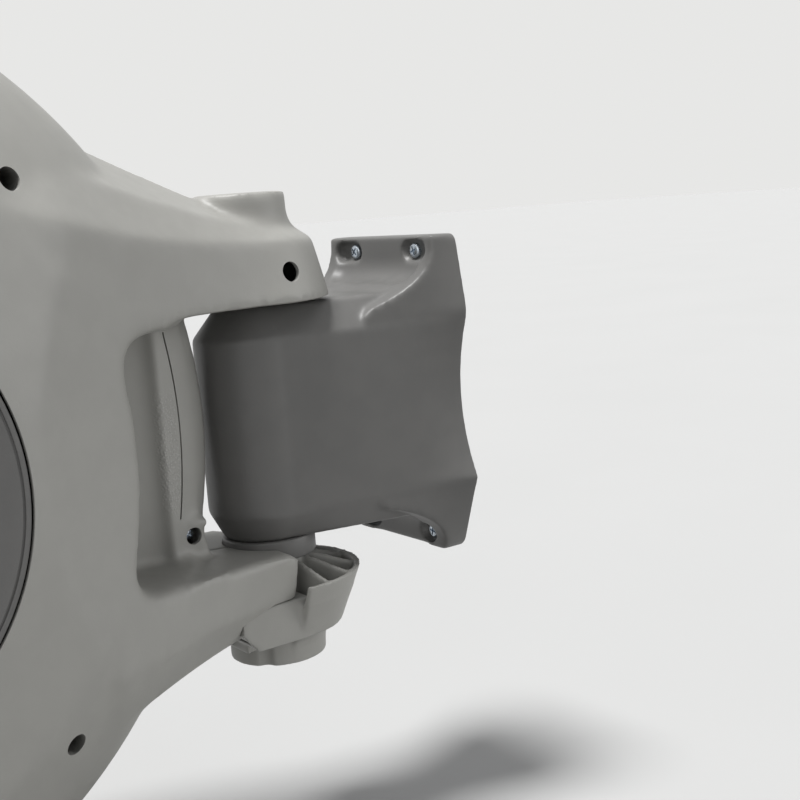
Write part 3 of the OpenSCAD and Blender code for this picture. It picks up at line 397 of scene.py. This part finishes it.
def lofted(name, rings):
    """A skin through rings of points: a grid whose last column closes on its first."""
    across = len(rings[0])
    bpy.ops.object.select_all(action="DESELECT")
    bpy.ops.mesh.primitive_grid_add(x_subdivisions=across, y_subdivisions=len(rings) - 1, size=2.0)
    piece = bpy.context.object
    piece.name = name
    for j, points in enumerate(rings):
        for i in range(across + 1):
            piece.data.vertices[j * (across + 1) + i].co = Vector(points[i % across]) * MM
    edit(piece)
    bpy.ops.mesh.remove_doubles(threshold=0.00001)
    bpy.ops.mesh.select_all(action="DESELECT")
    bpy.ops.mesh.select_non_manifold()
    bpy.ops.mesh.fill_holes(sides=0)
    bpy.ops.mesh.select_all(action="SELECT")
    bpy.ops.mesh.normals_make_consistent(inside=False)
    leave()
    return piece


def rod(name, radius, start, end, sides=48):
    """A cylinder from one point to another."""
    start, end = Vector(start) * MM, Vector(end) * MM
    along = end - start
    bpy.ops.object.select_all(action="DESELECT")
    bpy.ops.mesh.primitive_cylinder_add(vertices=sides, radius=radius * MM, depth=along.length)
    piece = bpy.context.object
    piece.name = name
    turn = along.to_track_quat("Z", "Y").to_matrix().to_4x4()
    piece.data.transform(Matrix.Translation((start + end) / 2) @ turn)
    return piece


def block(name, low, high):
    """A box between two corners."""
    corners = [sorted(pair) for pair in zip(low, high)]
    low, high = (Vector(pair[i] for pair in corners) * MM for i in (0, 1))
    bpy.ops.object.select_all(action="DESELECT")
    bpy.ops.mesh.primitive_cube_add(size=1.0)
    piece = bpy.context.object
    piece.name = name
    for vertex in piece.data.vertices:
        vertex.co = Vector(low[i] if vertex.co[i] < 0 else high[i] for i in range(3))
    return piece


def soften(piece, voxel, rounds):
    """Melts a piece into one even skin and rounds its edges."""
    apply_modifier(piece, "REMESH", mode="VOXEL", voxel_size=voxel * MM, use_smooth_shade=True)
    apply_modifier(piece, "SMOOTH", factor=0.5, iterations=rounds)


def dress(piece, body, slot, *stands_for):
    """Shades a finished piece, gives it its slot's finish, hangs it on its body and hides what it stands for."""
    alone(piece)
    bpy.ops.object.shade_smooth_by_angle(angle=math.radians(38))
    piece.data.materials.clear()
    piece.data.materials.append(finish_of_slot[slot])
    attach(piece, body)
    if stands_for:
        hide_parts(*stands_for)
    print(piece.name, "faces:", len(piece.data.polygons))


# %% [markdown]
# ## The casing's form
# The real casing is two mouldings with one flowing skin. Modelled as hard solids it would show every cut, so it
# is built in three moves: a lathe turned body, cut by the neck and the finger scoops; two arms lofted to the pivot
# and a housing for the hose outlet; and one voxel skin over all of them, smoothed like clay. The sizes repeat
# those of the solids, in millimetres.

# %% Sizes of the casing
pivot_y = -107.0
drum_y, drum_z = -389.0, 5.0
casing_r, band_r, crease_r, cover_r = 240.0, 200.0, 164.0, 110.0
side_x, crease_x, band_x, recess_x = 108.0, 92.0, 66.0, 104.0
neck_y, neck_l, neck_power, arm_tip_w = -275.5, 168.5, 1.6, 40.0
arm_under, boss_top, boss_r, ledge_z = 63.9, 124.9, 26.0, -82.4


def round_drum(name, outline, steps):
    """Pairs of x and radius, turned about the drum's axis."""
    points = [(x, drum_y + r, drum_z) for x, r in outline]
    return turned(name, points, (0, drum_y, drum_z), (1, 0, 0), steps)


def round_pivot(name, outline, steps):
    """Pairs of radius and height, turned about the pivot."""
    return turned(name, [(r, pivot_y, z) for r, z in outline], (0, pivot_y, 0), (0, 0, 1), steps)


def neck_half(share):
    """Half width of the neck, from the body at 0 to the arms' tips at 1."""
    return arm_tip_w + (side_x - arm_tip_w) * (1 - share) ** neck_power


def bend(a, b, c, steps):
    """Points of a curve from a to c that is pulled towards b."""
    a, b, c = Vector(a), Vector(b), Vector(c)
    shares = [i / steps for i in range(steps + 1)]
    return [tuple(a * (1 - t) ** 2 + b * 2 * t * (1 - t) + c * t * t) for t in shares]


def mirror_ring(points):
    """A half outline that starts and ends on the middle plane, closed by its mirror image."""
    return points + [(-x, y, z) for x, y, z in reversed(points[1:-1])]


print("casing across:", 2 * casing_r, "and wide:", 2 * side_x)

# %% [markdown]
# ## Body and finger scoops
# The body is a solid of revolution, so a spun outline gives its roof, its bevel and its flat sides at once. The
# neck is cut by two curved prisms. Each scoop is what two prisms share: one drawn from above, which shapes the grip
# strip in the middle, and one drawn from the side, whose outer edge is an arc round the drum.

# %% Body and neck
roof = bend((0, casing_r), (band_x / 2, casing_r), (band_x, band_r), 10)
half_section = roof + [(crease_x, crease_r), (side_x, cover_r + 1), (side_x, 0)]
section = [(-x, r) for x, r in reversed(half_section[1:])] + half_section
body = round_drum("casing_body", section, 128)
for side in (1, -1):
    sweep = [(side * neck_half(i / 16), neck_y + neck_l * i / 16, -300) for i in range(17)]
    outside = [(side * 240, pivot_y, -300), (side * 240, neck_y, -300)]
    cut(body, prism("neck", sweep + outside, (0, 0, 600)))
print("casing body faces:", len(body.data.polygons))

# %% Finger scoops
scoop_top, scoop_low, scoop_r, scoop_mouth = 58.5, -69.0, 177.0, -100.0


def scoop_edge(z):
    """Where the scoop's outer edge lies: an arc round the drum's axis."""
    return drum_y + math.sqrt(scoop_r ** 2 - (z - drum_z) ** 2)


upper_corner = bend((-196, scoop_top), (scoop_edge(scoop_top), scoop_top), (scoop_edge(34), 34), 6)
lower_corner = bend((scoop_edge(-44), -44), (scoop_edge(scoop_low), scoop_low), (-200, scoop_low), 6)
edge_line = [(scoop_edge(z), z) for z in (26, 14, 2, -10, -22, -34)]
outline = [(scoop_mouth, scoop_top), *upper_corner, *edge_line, *lower_corner, (scoop_mouth, scoop_low)]
strip_side = [(8, scoop_mouth), (8, -146), (20, -176), (15, -180)]
plan = [*strip_side, *bend((14, -190), (14, -226), (40, -236), 8), (240, -236), (240, scoop_mouth)]
for side in (1, -1):
    scoop = prism("scoop", [(side * x, y, -90) for x, y in plan], (0, 0, 180))
    side_view = prism("scoop_side", [(side * 2, y, z) for y, z in outline], (side * 238, 0, 0))
    cut(scoop, side_view, "INTERSECT")
    cut(body, scoop)
print("scooped body faces:", len(body.data.polygons))

# %% [markdown]
# ## Arms
# Each arm is a loft: a five point half outline is drawn at many places along the arm and mirrored to a ring. The
# upper arm starts inside the body with its crease on the body's own crease, so that one line runs from the bevel
# out to the tip. A turned piece rounds the tip and carries the boss over the pin.

# %% Arms
def upper_half(share):
    y, side_w = neck_y + neck_l * share, neck_half(share) - 1
    foot_w, w = min(side_w, 102.5) + 8 * share ** 4, min(side_w, 91.5 - 25 * share)
    under = arm_under - 6 * (1 - min(1, (share - 0.3) / 0.33))
    crease = arm_under + 34 + 26 * (1 - share) ** 2
    ridge = boss_top - 12 + 80 * (1 - share) ** 1.1
    return [(0, y, under), (foot_w, y, under), (w, y, crease),
            (w * 0.72, y, (crease + ridge) / 2), (0, y, ridge)]


def lower_half(share):
    y, w = neck_y + neck_l * share, neck_half(share) - 1
    top = -75.0 + 6.6 * (1 - share) / 0.7
    crease = ledge_z - 16 - 4 * (1 - share) ** 2
    ridge = crease - 26 - 60 * (1 - share) ** 1.35
    return [(0, y, ridge), (w * 0.72, y, (crease + ridge) / 2), (w, y, crease),
            (w + 8 * share ** 4, y, top), (0, y, top)]


upper_shares = [-0.08 + 1.08 * i / 20 for i in range(21)]
upper_arm = lofted("upper_arm", [mirror_ring(upper_half(share)) for share in upper_shares])
tip = [(x, z) for x, y, z in upper_half(1.0)]
arm_tip = round_pivot("arm_tip", [*tip[:4], (boss_r, tip[4][1]), (boss_r, boss_top), (0, boss_top)], 72)
lower_end = 1 - 6 / neck_l
lower_shares = [0.22 + (lower_end - 0.22) * i / 14 for i in range(15)]
lower_arm = lofted("lower_arm", [mirror_ring(lower_half(share)) for share in lower_shares])
print("arm rings:", len(upper_shares), "and", len(lower_shares))

# %% [markdown]
# ## Outlet housing and grip
# The hose leaves through a housing with a domed front. It is lofted from rounded rectangles that shrink along an
# arc, because a bevel on a box would swell past the front plane when the skin is smoothed. The grip gets the small
# forms that a hand meets: a lip along its edge, a ledge below, and a boss for its screw.

# %% Hose outlet housing
housing_half, housing_low, housing_high, housing_corner = 90.0, -116.3, 25.7, 24.0
housing_back, housing_front, housing_dome = -443.0, -643.0, 34.0


def housing_ring(y, inset):
    """A rectangle with round corners, drawn in by the inset."""
    half, low, high = housing_half - inset, housing_low + inset, housing_high - inset
    points = []
    for x, z, start in ((half, high, 0), (-half, high, 90), (-half, low, 180), (half, low, 270)):
        middle_x = x - math.copysign(housing_corner, x)
        middle_z = z - (housing_corner if z == high else -housing_corner)
        for turn in (math.radians(start + 15 * i) for i in range(7)):
            points.append((middle_x + housing_corner * math.cos(turn), y,
                           middle_z + housing_corner * math.sin(turn)))
    return points


rings = [housing_ring(housing_back, 0)]
for turn in (math.radians(angle) for angle in range(0, 73, 8)):
    reach, inset = housing_dome * math.sin(turn), housing_dome * (1 - math.cos(turn))
    rings.append(housing_ring(housing_front + housing_dome - reach - 1.6, inset))
rings.append(housing_ring(housing_front, housing_dome * 0.83))
housing = lofted("outlet_housing", rings)
print("housing rings:", len(rings))

# %% Grip details
grip_y, grip_z = -162.0, -58.0
grip_boss = rod("grip_boss", 8.5, (-16, grip_y, grip_z), (16, grip_y, grip_z), 40)
ledge_line = [(-181, -86), (-150, -86), (-152, -64), (-170, -60)]
grip_ledge = prism("grip_ledge", [(-15, y, z) for y, z in ledge_line], (30, 0, 0))
lip_line = [(-8, 225), (8, 225), (8, 243.5), (5, 245.5), (-5, 245.5), (-8, 243.5)]
grip_lip = round_drum("grip_lip", lip_line, 160)
cut(grip_lip, block("lip_zone", (-20, -230, -74), (20, -100, 64)), "INTERSECT")
strip_tab = block("strip_tab", (-17, -168, -53), (17, -152, -49.5))
grip = [grip_boss, grip_ledge, grip_lip, strip_tab]
print("grip pieces:", len(grip))

# %% [markdown]
# ## One skin
# A voxel remesh turns the overlapping pieces into one closed skin of even quads, and smoothing rounds every edge
# alike. Where the real moulding flows more softly, round the scoops and where the arms leave the body, a vertex
# group limits further smoothing to that zone.

# %% One skin over the casing
form = join("casing_form", [body, upper_arm, arm_tip, lower_arm, housing, *grip])
soften(form, 2.4, 9)


def melt(piece, zone, low, high, rounds):
    """Smooths the points of both sides that lie in one zone, given from the middle plane outwards."""
    group = piece.vertex_groups.new(name=zone)
    inside = [v.index for v in piece.data.vertices
              if all(low[i] * MM < (abs(v.co[i]) if i == 0 else v.co[i]) < high[i] * MM for i in range(3))]
    group.add(inside, 1.0, "REPLACE")
    apply_modifier(piece, "SMOOTH", factor=0.5, iterations=rounds, vertex_group=zone)
    print(zone, "points:", len(inside))


melt(form, "scoop_edge", (36, -246, -100), (110, -188, 88), 30)
melt(form, "upper_neck", (40, -312, 66), (110, -206, 175), 14)
melt(form, "lower_neck", (40, -312, -190), (110, -206, -80), 40)
print("casing skin faces:", len(form.data.polygons))

# %% [markdown]
# ## Two halves with a wall
# The skin is cut down the middle, each half gets a wall of three millimetres, and its edge is drawn in a little,
# so that the parting line shows as a fine groove. The inside is never seen, so it is thinned out. The openings
# come last, because a cut made after the smoothing keeps a crisp edge: the seats of the covers, the recessed screw
# holes, the hose outlet, the groove in the grip strip and the seat of the lower pivot block.

# %% Cutters shared by both halves
screw_angles = [math.radians(angle) for angle in (46, 95, 140, 232, 265, 314)]
screw_ring, screw_mid_x = (crease_r + band_r) / 2, (crease_x + band_x) / 2
screw_places = [(drum_y + screw_ring * math.cos(turn), drum_z + screw_ring * math.sin(turn))
                for turn in screw_angles]
outlet_z, sleeve = -50.3, 25.6
tongue_top, tongue_half = -100.4, 40.4
tongue_slot = [(-100, -200), (-139.6, -200), (-139.6, -125.5), (-150.4, -113), (-150.4, tongue_top - 3),
               (-147.4, tongue_top + 0.4), (-100, tongue_top + 0.4)]
groove_blade = [(13.3, 225.5), (13.9, 225), (24, 225), (24, 226), (13.9, 226)]


def strip_groove(side):
    """A thin curved blade that scores the grip strip."""
    groove = round_drum("strip_groove", [(side * x, r) for x, r in groove_blade], 180)
    cut(groove, block("groove_zone", (-40, -200, -47), (40, -100, 55)), "INTERSECT")
    return groove


def openings(side):
    """What is cut from a half: cover seat, outlet and collar seat at once, then block tongue, hub and groove."""
    seat = rod("seat", cover_r + 1, (side * recess_x, drum_y, drum_z), (side * 130, drum_y, drum_z), 128)
    outlet = block("outlet", (-sleeve, -660, outlet_z - sleeve), (sleeve, -590, outlet_z + sleeve))
    tongue = prism("tongue", [(-tongue_half, y, z) for y, z in tongue_slot], (2 * tongue_half, 0, 0))
    hub = rod("hub", 20.4, (0, pivot_y, -200), (0, pivot_y, ledge_z + 1), 64)
    collar = rod("collar", 27.4, (0, pivot_y, ledge_z), (0, pivot_y, -60), 64)
    return [join("clear_openings", [seat, outlet, collar]), tongue, hub, strip_groove(side)]


print("screw places on each half:", len(screw_places))

# %% The two halves
wall, seam_draw, seam_edge, inside_share = 3.0, 0.6, 0.1, 0.58


def half_shell(name, side):
    half = form.copy()
    half.data = form.data.copy()
    half.name = name
    bpy.context.scene.collection.objects.link(half)
    edit(half)
    bpy.ops.mesh.bisect(plane_co=(side * seam_edge * MM, 0, 0), plane_no=(side, 0, 0), clear_inner=True)
    bpy.ops.mesh.select_all(action="DESELECT")
    bpy.ops.mesh.select_non_manifold()
    bpy.ops.transform.shrink_fatten(value=-seam_draw * MM)
    leave()
    half.vertex_groups.clear()
    half.vertex_groups.new(name="inside")
    apply_modifier(half, "SOLIDIFY", thickness=wall * MM, offset=-1.0, use_rim=True, shell_vertex_group="inside")
    apply_modifier(half, "DECIMATE", ratio=inside_share, vertex_group="inside", vertex_group_factor=1.0)
    cut(half, block("other_side", (-side * 0.05, -700, -300), (-side * 40, 50, 300)))
    bosses = [rod("boss", 8, (side * 1, y, z), (side * (screw_mid_x - 6), y, z), 32) for y, z in screw_places]
    cut(half, join("bosses", bosses), "UNION")
    for cutter in openings(side):
        cut(half, cutter)
    return half


shell_right = half_shell("casing_shell_right", 1)
shell_left = half_shell("casing_shell_left", -1)
bpy.data.objects.remove(form)

# %% Screw holes in the right half
lock_y, lock_z = pivot_y + 5, arm_under + 17
holes = [rod("screw_hole", 5.5, (7, y, z), (130, y, z), 40) for y, z in screw_places]
holes.append(rod("lock_hole", 5.5, (12, lock_y, lock_z), (80, lock_y, lock_z), 40))
holes.append(rod("grip_hole", 4.8, (6.9, grip_y, grip_z), (60, grip_y, grip_z), 40))
cut(shell_right, join("screw_holes", holes))
dress(shell_right, "reel", "casing_grey", "casing_right")
dress(shell_left, "reel", "casing_grey", "casing_left")

# %% [markdown]
# ## Bracket
# The bracket is one deep hollow moulding: a body that narrows to a round nose, and two ears that sweep out to the
# wall. Both sweeps come from one function of depth and height, so the body and the ears meet in one surface. It is
# lofted, melted into one skin as the casing was, and runs a little past the wall, where it is cut off flat. The
# smoothing would otherwise fray the thin edge.

# %% Bracket: how its sides sweep out to the wall
hole_x, hole_z, pocket_floor = 31.0, 85.0, -8.0
nose_r, wall_half, flare_half, flare_z, ear_z = 33.0, 54.0, 65.0, 49.0, 94.0
bracket_wall, past_wall = 4.0, 4.0


def plate_half(z):
    """Half width of the bracket at the wall: a waist in the middle, widest at the two flares."""
    if abs(z) <= flare_z:
        return wall_half + (flare_half - wall_half) * (z / flare_z) ** 2
    end = 58.0 if z > 0 else 47.6
    return flare_half + (end - flare_half) * (abs(z) - flare_z) / (ear_z - flare_z)


def straight_half(y):
    """Half width without the sweep: a straight taper from the wall to the nose."""
    return nose_r + (wall_half - nose_r) * (min(y, 0) - pivot_y) / -pivot_y


def side_half(y, z):
    """Half width at any place: the taper, drawn out to the plate near the wall."""
    sweep = max(0.0, (min(y, 0) + 44) / 44) ** 2.2
    return straight_half(y) + (plate_half(z) - wall_half) * sweep


def body_ring(y, inset):
    """Outline of the bracket's body at one depth."""
    straight = straight_half(y) - inset
    top, low = 61 + 3 * (min(y, 0) - pivot_y) / -pivot_y - inset, -70 + inset
    levels = (-54, -49, -36, -24, -12, 0, 12, 24, 36, 45)
    side = [(side_half(y, z) - inset, y, z) for z in levels]
    return mirror_ring([(0, y, low), (straight - 8, y, low), *side, (straight - 13, y, top), (0, y, top)])


def ear_ring(z):
    """Outline of an ear at one height: deep at its foot, thin at its end."""
    start = 54 if z > 0 else 60
    depth = 14 + 42 * (1 - max(0.0, (abs(z) - start) / (ear_z - start))) ** 3
    half = [(side_half(y, z) - 0.4, y, z) for y in (past_wall, *(-depth * i / 6 for i in range(7)))]
    return half + [(-x, y, z) for x, y, z in reversed(half)]


print("bracket at the wall:", 2 * flare_half, "wide and", 2 * ear_z, "high")

# %% Bracket: ears with their dishes and screw pockets
pocket_r = 6.2


def screw_ear(up, foot, dish_half, dish_z):
    ear = lofted("ear", [ear_ring(up * (foot + (ear_z - foot) * i / 14)) for i in range(15)])
    dish = block("dish", (-dish_half, -90, up * dish_z), (dish_half, -12, up * 130))
    edit(dish)
    bpy.ops.mesh.bevel(offset=13 * MM, segments=6, affect="EDGES")
    leave()
    cut(ear, dish)
    end_half, z = plate_half(up * ear_z), up * hole_z
    for side in (1, -1):
        corner = [(side * (end_half + 6), 20, up * 86), (side * (end_half + 6), 20, up * 97),
                  (side * (end_half - 7), 20, up * 97)]
        cut(ear, prism("ear_corner", corner, (0, -80, 0)))
        near, far = side * (hole_x - 3), side * min(hole_x + 9, dish_half - 4)
        for x in (near, far):
            cut(ear, rod("pocket", pocket_r, (x, pocket_floor, z), (x, -40, z), 40))
        cut(ear, block("pocket", (near, -40, z - pocket_r + 0.1), (far, pocket_floor, z + pocket_r - 0.1)))
    return ear


ears = [screw_ear(1, 40, 46, 67), screw_ear(-1, 48, 36, 73)]
print("ears:", len(ears))

# %% Bracket: body, nose and one skin
depths = (-107, -85, -66, -50, -42, -34, -27, -21, -15, -10, -6, -3, 0)
bracket_body = lofted("bracket_body", [body_ring(y, 0) for y in (*depths, past_wall)])
nose = round_pivot("nose", [(0, 61), (20, 61), (33, 45), (33, -54), (25, -70), (0, -70)], 96)
pad = rod("pad", 18, (0, pivot_y, 50), (0, pivot_y, 62.5), 64)
top_outline = [(-18, pivot_y, 56), (18, pivot_y, 56), (28, -50, 56), (-28, -50, 56)]
top_plate = prism("top_plate", top_outline, (0, 0, 6.5))
bracket = join("bracket_moulding", [bracket_body, nose, pad, top_plate, *ears])
soften(bracket, 1.5, 9)
cut(bracket, block("wall", (-100, 0, -120), (100, 20, 120)))
print("bracket skin faces:", len(bracket.data.polygons))

# %% Bracket: hollow, bores and holes
bore_r, tube_r, seat_r, wall_hole_r = 12.05, 17, 16.4, 3.25
hollow = lofted("hollow", [body_ring(y, bracket_wall) for y in (*depths, 2 * past_wall)])
cut(hollow, rod("tube", tube_r, (0, pivot_y, -90), (0, pivot_y, 90), 64))
cut(bracket, hollow)
room_line = [(tube_r, 56), (19, 56), (29, 43), (29, -52), (22, -66), (tube_r, -66)]
nose_room = round_pivot("nose_room", room_line, 96)
cut(nose_room, block("wall_half", (-60, pivot_y + 0.5, -90), (60, 40, 90)))
cut(bracket, nose_room)
cut(bracket, rod("bush_bore", bore_r, (0, pivot_y, -90), (0, pivot_y, 90), 64))
cut(bracket, rod("flange_seat", seat_r, (0, pivot_y, 60.5), (0, pivot_y, 90), 64))
wall_places = [(x, z) for x in (-hole_x, hole_x) for z in (-hole_z, hole_z)]
for x, z in wall_places:
    cut(bracket, rod("wall_hole", wall_hole_r, (x, 3, z), (x, pocket_floor - 3, z), 32))
dress(bracket, "bracket", "bracket_grey", "wall_bracket")

# %% [markdown]
# ## Pivot block
# The lower pivot is a ribbed cup with a tongue that slides into the casing. Its solid already has the right form,
# so a copy is merged and melted, which rounds all edges as a mould does. First a turned fillet joins the cup to its
# hub and a keel joins it to the tongue. The bore is cut again afterwards, so that it stays round.

# %% Copies of solids
def copy_of(node_name, name):
    """A copy of a solid's mesh with its loose triangles joined."""
    piece = bpy.data.objects.new(name, nodes[node_name].data.copy())
    bpy.context.scene.collection.objects.link(piece)
    edit(piece)
    bpy.ops.mesh.remove_doubles(threshold=0.00001)
    leave()
    return piece


# %% Pivot block
pivot_block = copy_of("pivot_block", "pivot_block_moulding")
corner_line = [(-160, -130), (-140, -130), (-140, -125.5), (-150, -113.5), (-160, -113.5)]
cut(pivot_block, prism("tongue_corner", [(-43, y, z) for y, z in corner_line], (86, 0, 0)))
bowl_line = [(26, -140), (28.1, -138), (28.5, -133), (30.2, -128.6), (34, -126.2), (39.4, -123.4),
             (43.2, -114), (48, -103), (46, -103), (38, -122), (26, -124)]
bowl = round_pivot("bowl", bowl_line, 96)
cut(bowl, block("bowl_back", (-80, -112.4, -160), (80, 0, -80)), "INTERSECT")
keel_line = [(-139.2, -122), (-112.6, -122), (-112.6, -127), (-139.2, -131)]
keel = prism("keel", [(-22, y, z) for y, z in keel_line], (44, 0, 0))
pivot_block = join("pivot_block_moulding", [pivot_block, bowl, keel])
soften(pivot_block, 1.1, 7)
cut(pivot_block, rod("pin_bore", 8.05, (0, pivot_y, -130), (0, pivot_y, -60), 48))
dress(pivot_block, "reel", "casing_grey", "pivot_block")

# %% [markdown]
# ## Screws
# A pan head screw is turned on a lathe and its cross is pressed in. It is modelled at the origin with its head
# along +Z, and each place gets a copy with its own mesh, turned a little further, as hands leave them. The four
# wall screws sit in the pockets of the ears.

# %% One pan head screw
def pan_head_screw(name, head_r, head_h, shank_r, shank_l):
    outline = [(0, -shank_l), (shank_r * 0.6, -shank_l), (shank_r, -shank_l + shank_r), (shank_r, 0),
               (head_r, 0), (head_r, head_h * 0.35), (head_r * 0.93, head_h * 0.66),
               (head_r * 0.72, head_h * 0.9), (0, head_h)]
    screw = turned(name, [(r, 0, z) for r, z in outline], (0, 0, 0), (0, 0, 1), 40)
    reach, slot_w, deep = head_r * 0.62, head_r * 0.24, head_h * 0.35
    cut(screw, block("cross", (-reach, -slot_w / 2, deep), (reach, slot_w / 2, head_h * 2)))
    cut(screw, block("cross", (-slot_w / 2, -reach, deep), (slot_w / 2, reach, head_h * 2)))
    return screw


def place_copy(piece, name, place, facing, twist):
    """A copy whose own Z looks along facing, turned about itself by twist degrees."""
    made = bpy.data.objects.new(name, piece.data.copy())
    bpy.context.scene.collection.objects.link(made)
    aim = Vector(facing).to_track_quat("Z", "Y").to_matrix().to_4x4()
    turn = aim @ Matrix.Rotation(math.radians(twist), 4, "Z")
    made.data.transform(Matrix.Translation(Vector(place) * MM) @ turn)
    return made


# %% Wall screws
wall_screw = pan_head_screw("wall_screw", 4.6, 3.0, 2.7, 7.9)
for number, (x, z) in enumerate(wall_places):
    placed = place_copy(wall_screw, f"wall_screw_{number + 1}", (x, pocket_floor, z), (0, -1, 0), 17 + 31 * number)
    dress(placed, "bracket", "steel")
bpy.data.objects.remove(wall_screw)

# %% [markdown]
# ## Casing screws
# These sit deep in their holes, at the heads of the solids they stand for. The solid is one node with several loose
# screws, so its copy is separated to find where each one is and how long it is.

# %% Casing screws
casing_head_h = 2.5


def islands(node_name):
    """Lowest and highest corner, in millimetres, of each loose part of a solid."""
    edit(copy_of(node_name, "scratch"))
    bpy.ops.mesh.separate(type="LOOSE")
    leave()
    boxes = []
    for part in list(bpy.context.selected_objects):
        corners = [vertex.co / MM for vertex in part.data.vertices]
        boxes.append([Vector(f(c[i] for c in corners) for i in range(3)) for f in (min, max)])
        bpy.data.objects.remove(part)
    return boxes


heads = []
for number, (low, high) in enumerate(islands("casing_screws")):
    head_r, middle = (high.y - low.y) / 2, (low + high) / 2
    screw = pan_head_screw("casing_screw", head_r, casing_head_h, head_r * 0.5, high.x - low.x - casing_head_h)
    seat = (high.x - casing_head_h, middle.y, middle.z)
    heads.append(place_copy(screw, "casing_screw", seat, (1, 0, 0), 23 * number))
    bpy.data.objects.remove(screw)
print("casing screws:", len(heads))
dress(join("casing_screw_set", heads), "reel", "steel", "casing_screws")

# %% [markdown]
# ## Side covers
# The round covers hide the drum's bearings. They are turned, with a fine groove inside the rim that catches the
# light twice and a face that is very slightly dished, because a truly flat disc looks dead under soft light. The
# left one has a hole for the axle, which brings the water in.

# %% Side covers
def side_cover(name, side, hole_r, node_name):
    x0, x1 = recess_x, recess_x + 3.0
    outline = [(hole_r, x0 + 0.1), (cover_r - 0.4, x0 + 0.1), (cover_r, x0 + 0.8), (cover_r, x1 - 1.0),
               (cover_r - 0.3, x1 - 0.3), (cover_r - 1.0, x1), (cover_r - 2.6, x1), (cover_r - 2.9, x1 - 0.8),
               (cover_r - 3.7, x1 - 0.8), (cover_r - 4.0, x1 - 0.1), (cover_r - 9.0, x1 - 0.6),
               (cover_r * 0.5, x1 - 0.2), (hole_r + 0.5, x1), (hole_r, x1 - 0.4)]
    dress(round_drum(name, [(side * x, r) for r, x in outline], 160), "reel", "cover_grey", node_name)


axle_low, axle_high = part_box("axle")
axle_hole = max((axle_high[2] - axle_low[2]) / MM / 2, 5) + 0.4
side_cover("cover_disc_right", 1, 0.0, "side_cover_right")
side_cover("cover_disc_left", -1, axle_hole, "side_cover_left")

# %% [markdown]
# ## Collar, outlet frame and inlet
# These small mouldings keep the form of their solids and only need their edges broken. The flat faces of a copy are
# merged first, because a bevel on every triangle's edge would tear the mesh, and then all sharp edges are rounded.

# %% Small pieces with broken edges
def bevelled_copy(node_name, name, width, body_name):
    """A copy of a small solid with rounded edges."""
    piece = copy_of(node_name, name)
    edit(piece)
    bpy.ops.mesh.dissolve_limited(angle_limit=math.radians(4))
    leave()
    apply_modifier(piece, "BEVEL", width=width * MM, segments=3, limit_method="ANGLE",
                   angle_limit=math.radians(35), use_clamp_overlap=True, harden_normals=False)
    dress(piece, body_name, slot_of_node[node_name], node_name)


bevelled_copy("lower_bush", "nose_collar", 1.2, "bracket")
bevelled_copy("outlet_frame", "outlet_bezel", 1.4, "reel")
bevelled_copy("inlet_elbow", "inlet_elbow_cast", 1.2, "reel")
bevelled_copy("inlet_nipple", "inlet_spigot", 0.8, "reel")

# %% [markdown]
# ## Outlet rollers
# Four rollers lead the hose out without rubbing it. Each is turned with a crown in the middle and a groove near
# both ends. A roller is modelled once for each length at the origin, and each place gets a copy on its own pin.

# %% Outlet rollers
def roller_model(radius, length):
    pin_r = 2.05
    outline = [(pin_r, 0), (radius - 0.8, 0), (radius - 0.3, 0.5), (radius - 0.3, 1.6), (radius - 0.9, 2.0),
               (radius - 0.9, 2.6), (radius - 0.2, 3.0), (radius, length / 2)]
    outline += [(r, length - d) for r, d in reversed(outline[:-1])]
    return turned("roller", [(r, 0, d - length / 2) for r, d in outline], (0, 0, 0), (0, 0, 1), 48)


models = {}
for side_name in ("top", "bottom", "right", "left"):
    node_name = "outlet_roller_" + side_name
    low, high = [Vector(corner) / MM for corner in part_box(node_name)]
    size = high - low
    upright = size.z > size.x
    shape = (round(min(size) / 2, 2), round(size.z if upright else size.x, 2))
    if shape not in models:
        models[shape] = roller_model(*shape)
    facing = (0, 0, 1) if upright else (1, 0, 0)
    roller = place_copy(models[shape], "roller_" + side_name, (low + high) / 2, facing, 0)
    dress(roller, "roller_" + side_name, slot_of_node[node_name], node_name)
for model in models.values():
    bpy.data.objects.remove(model)
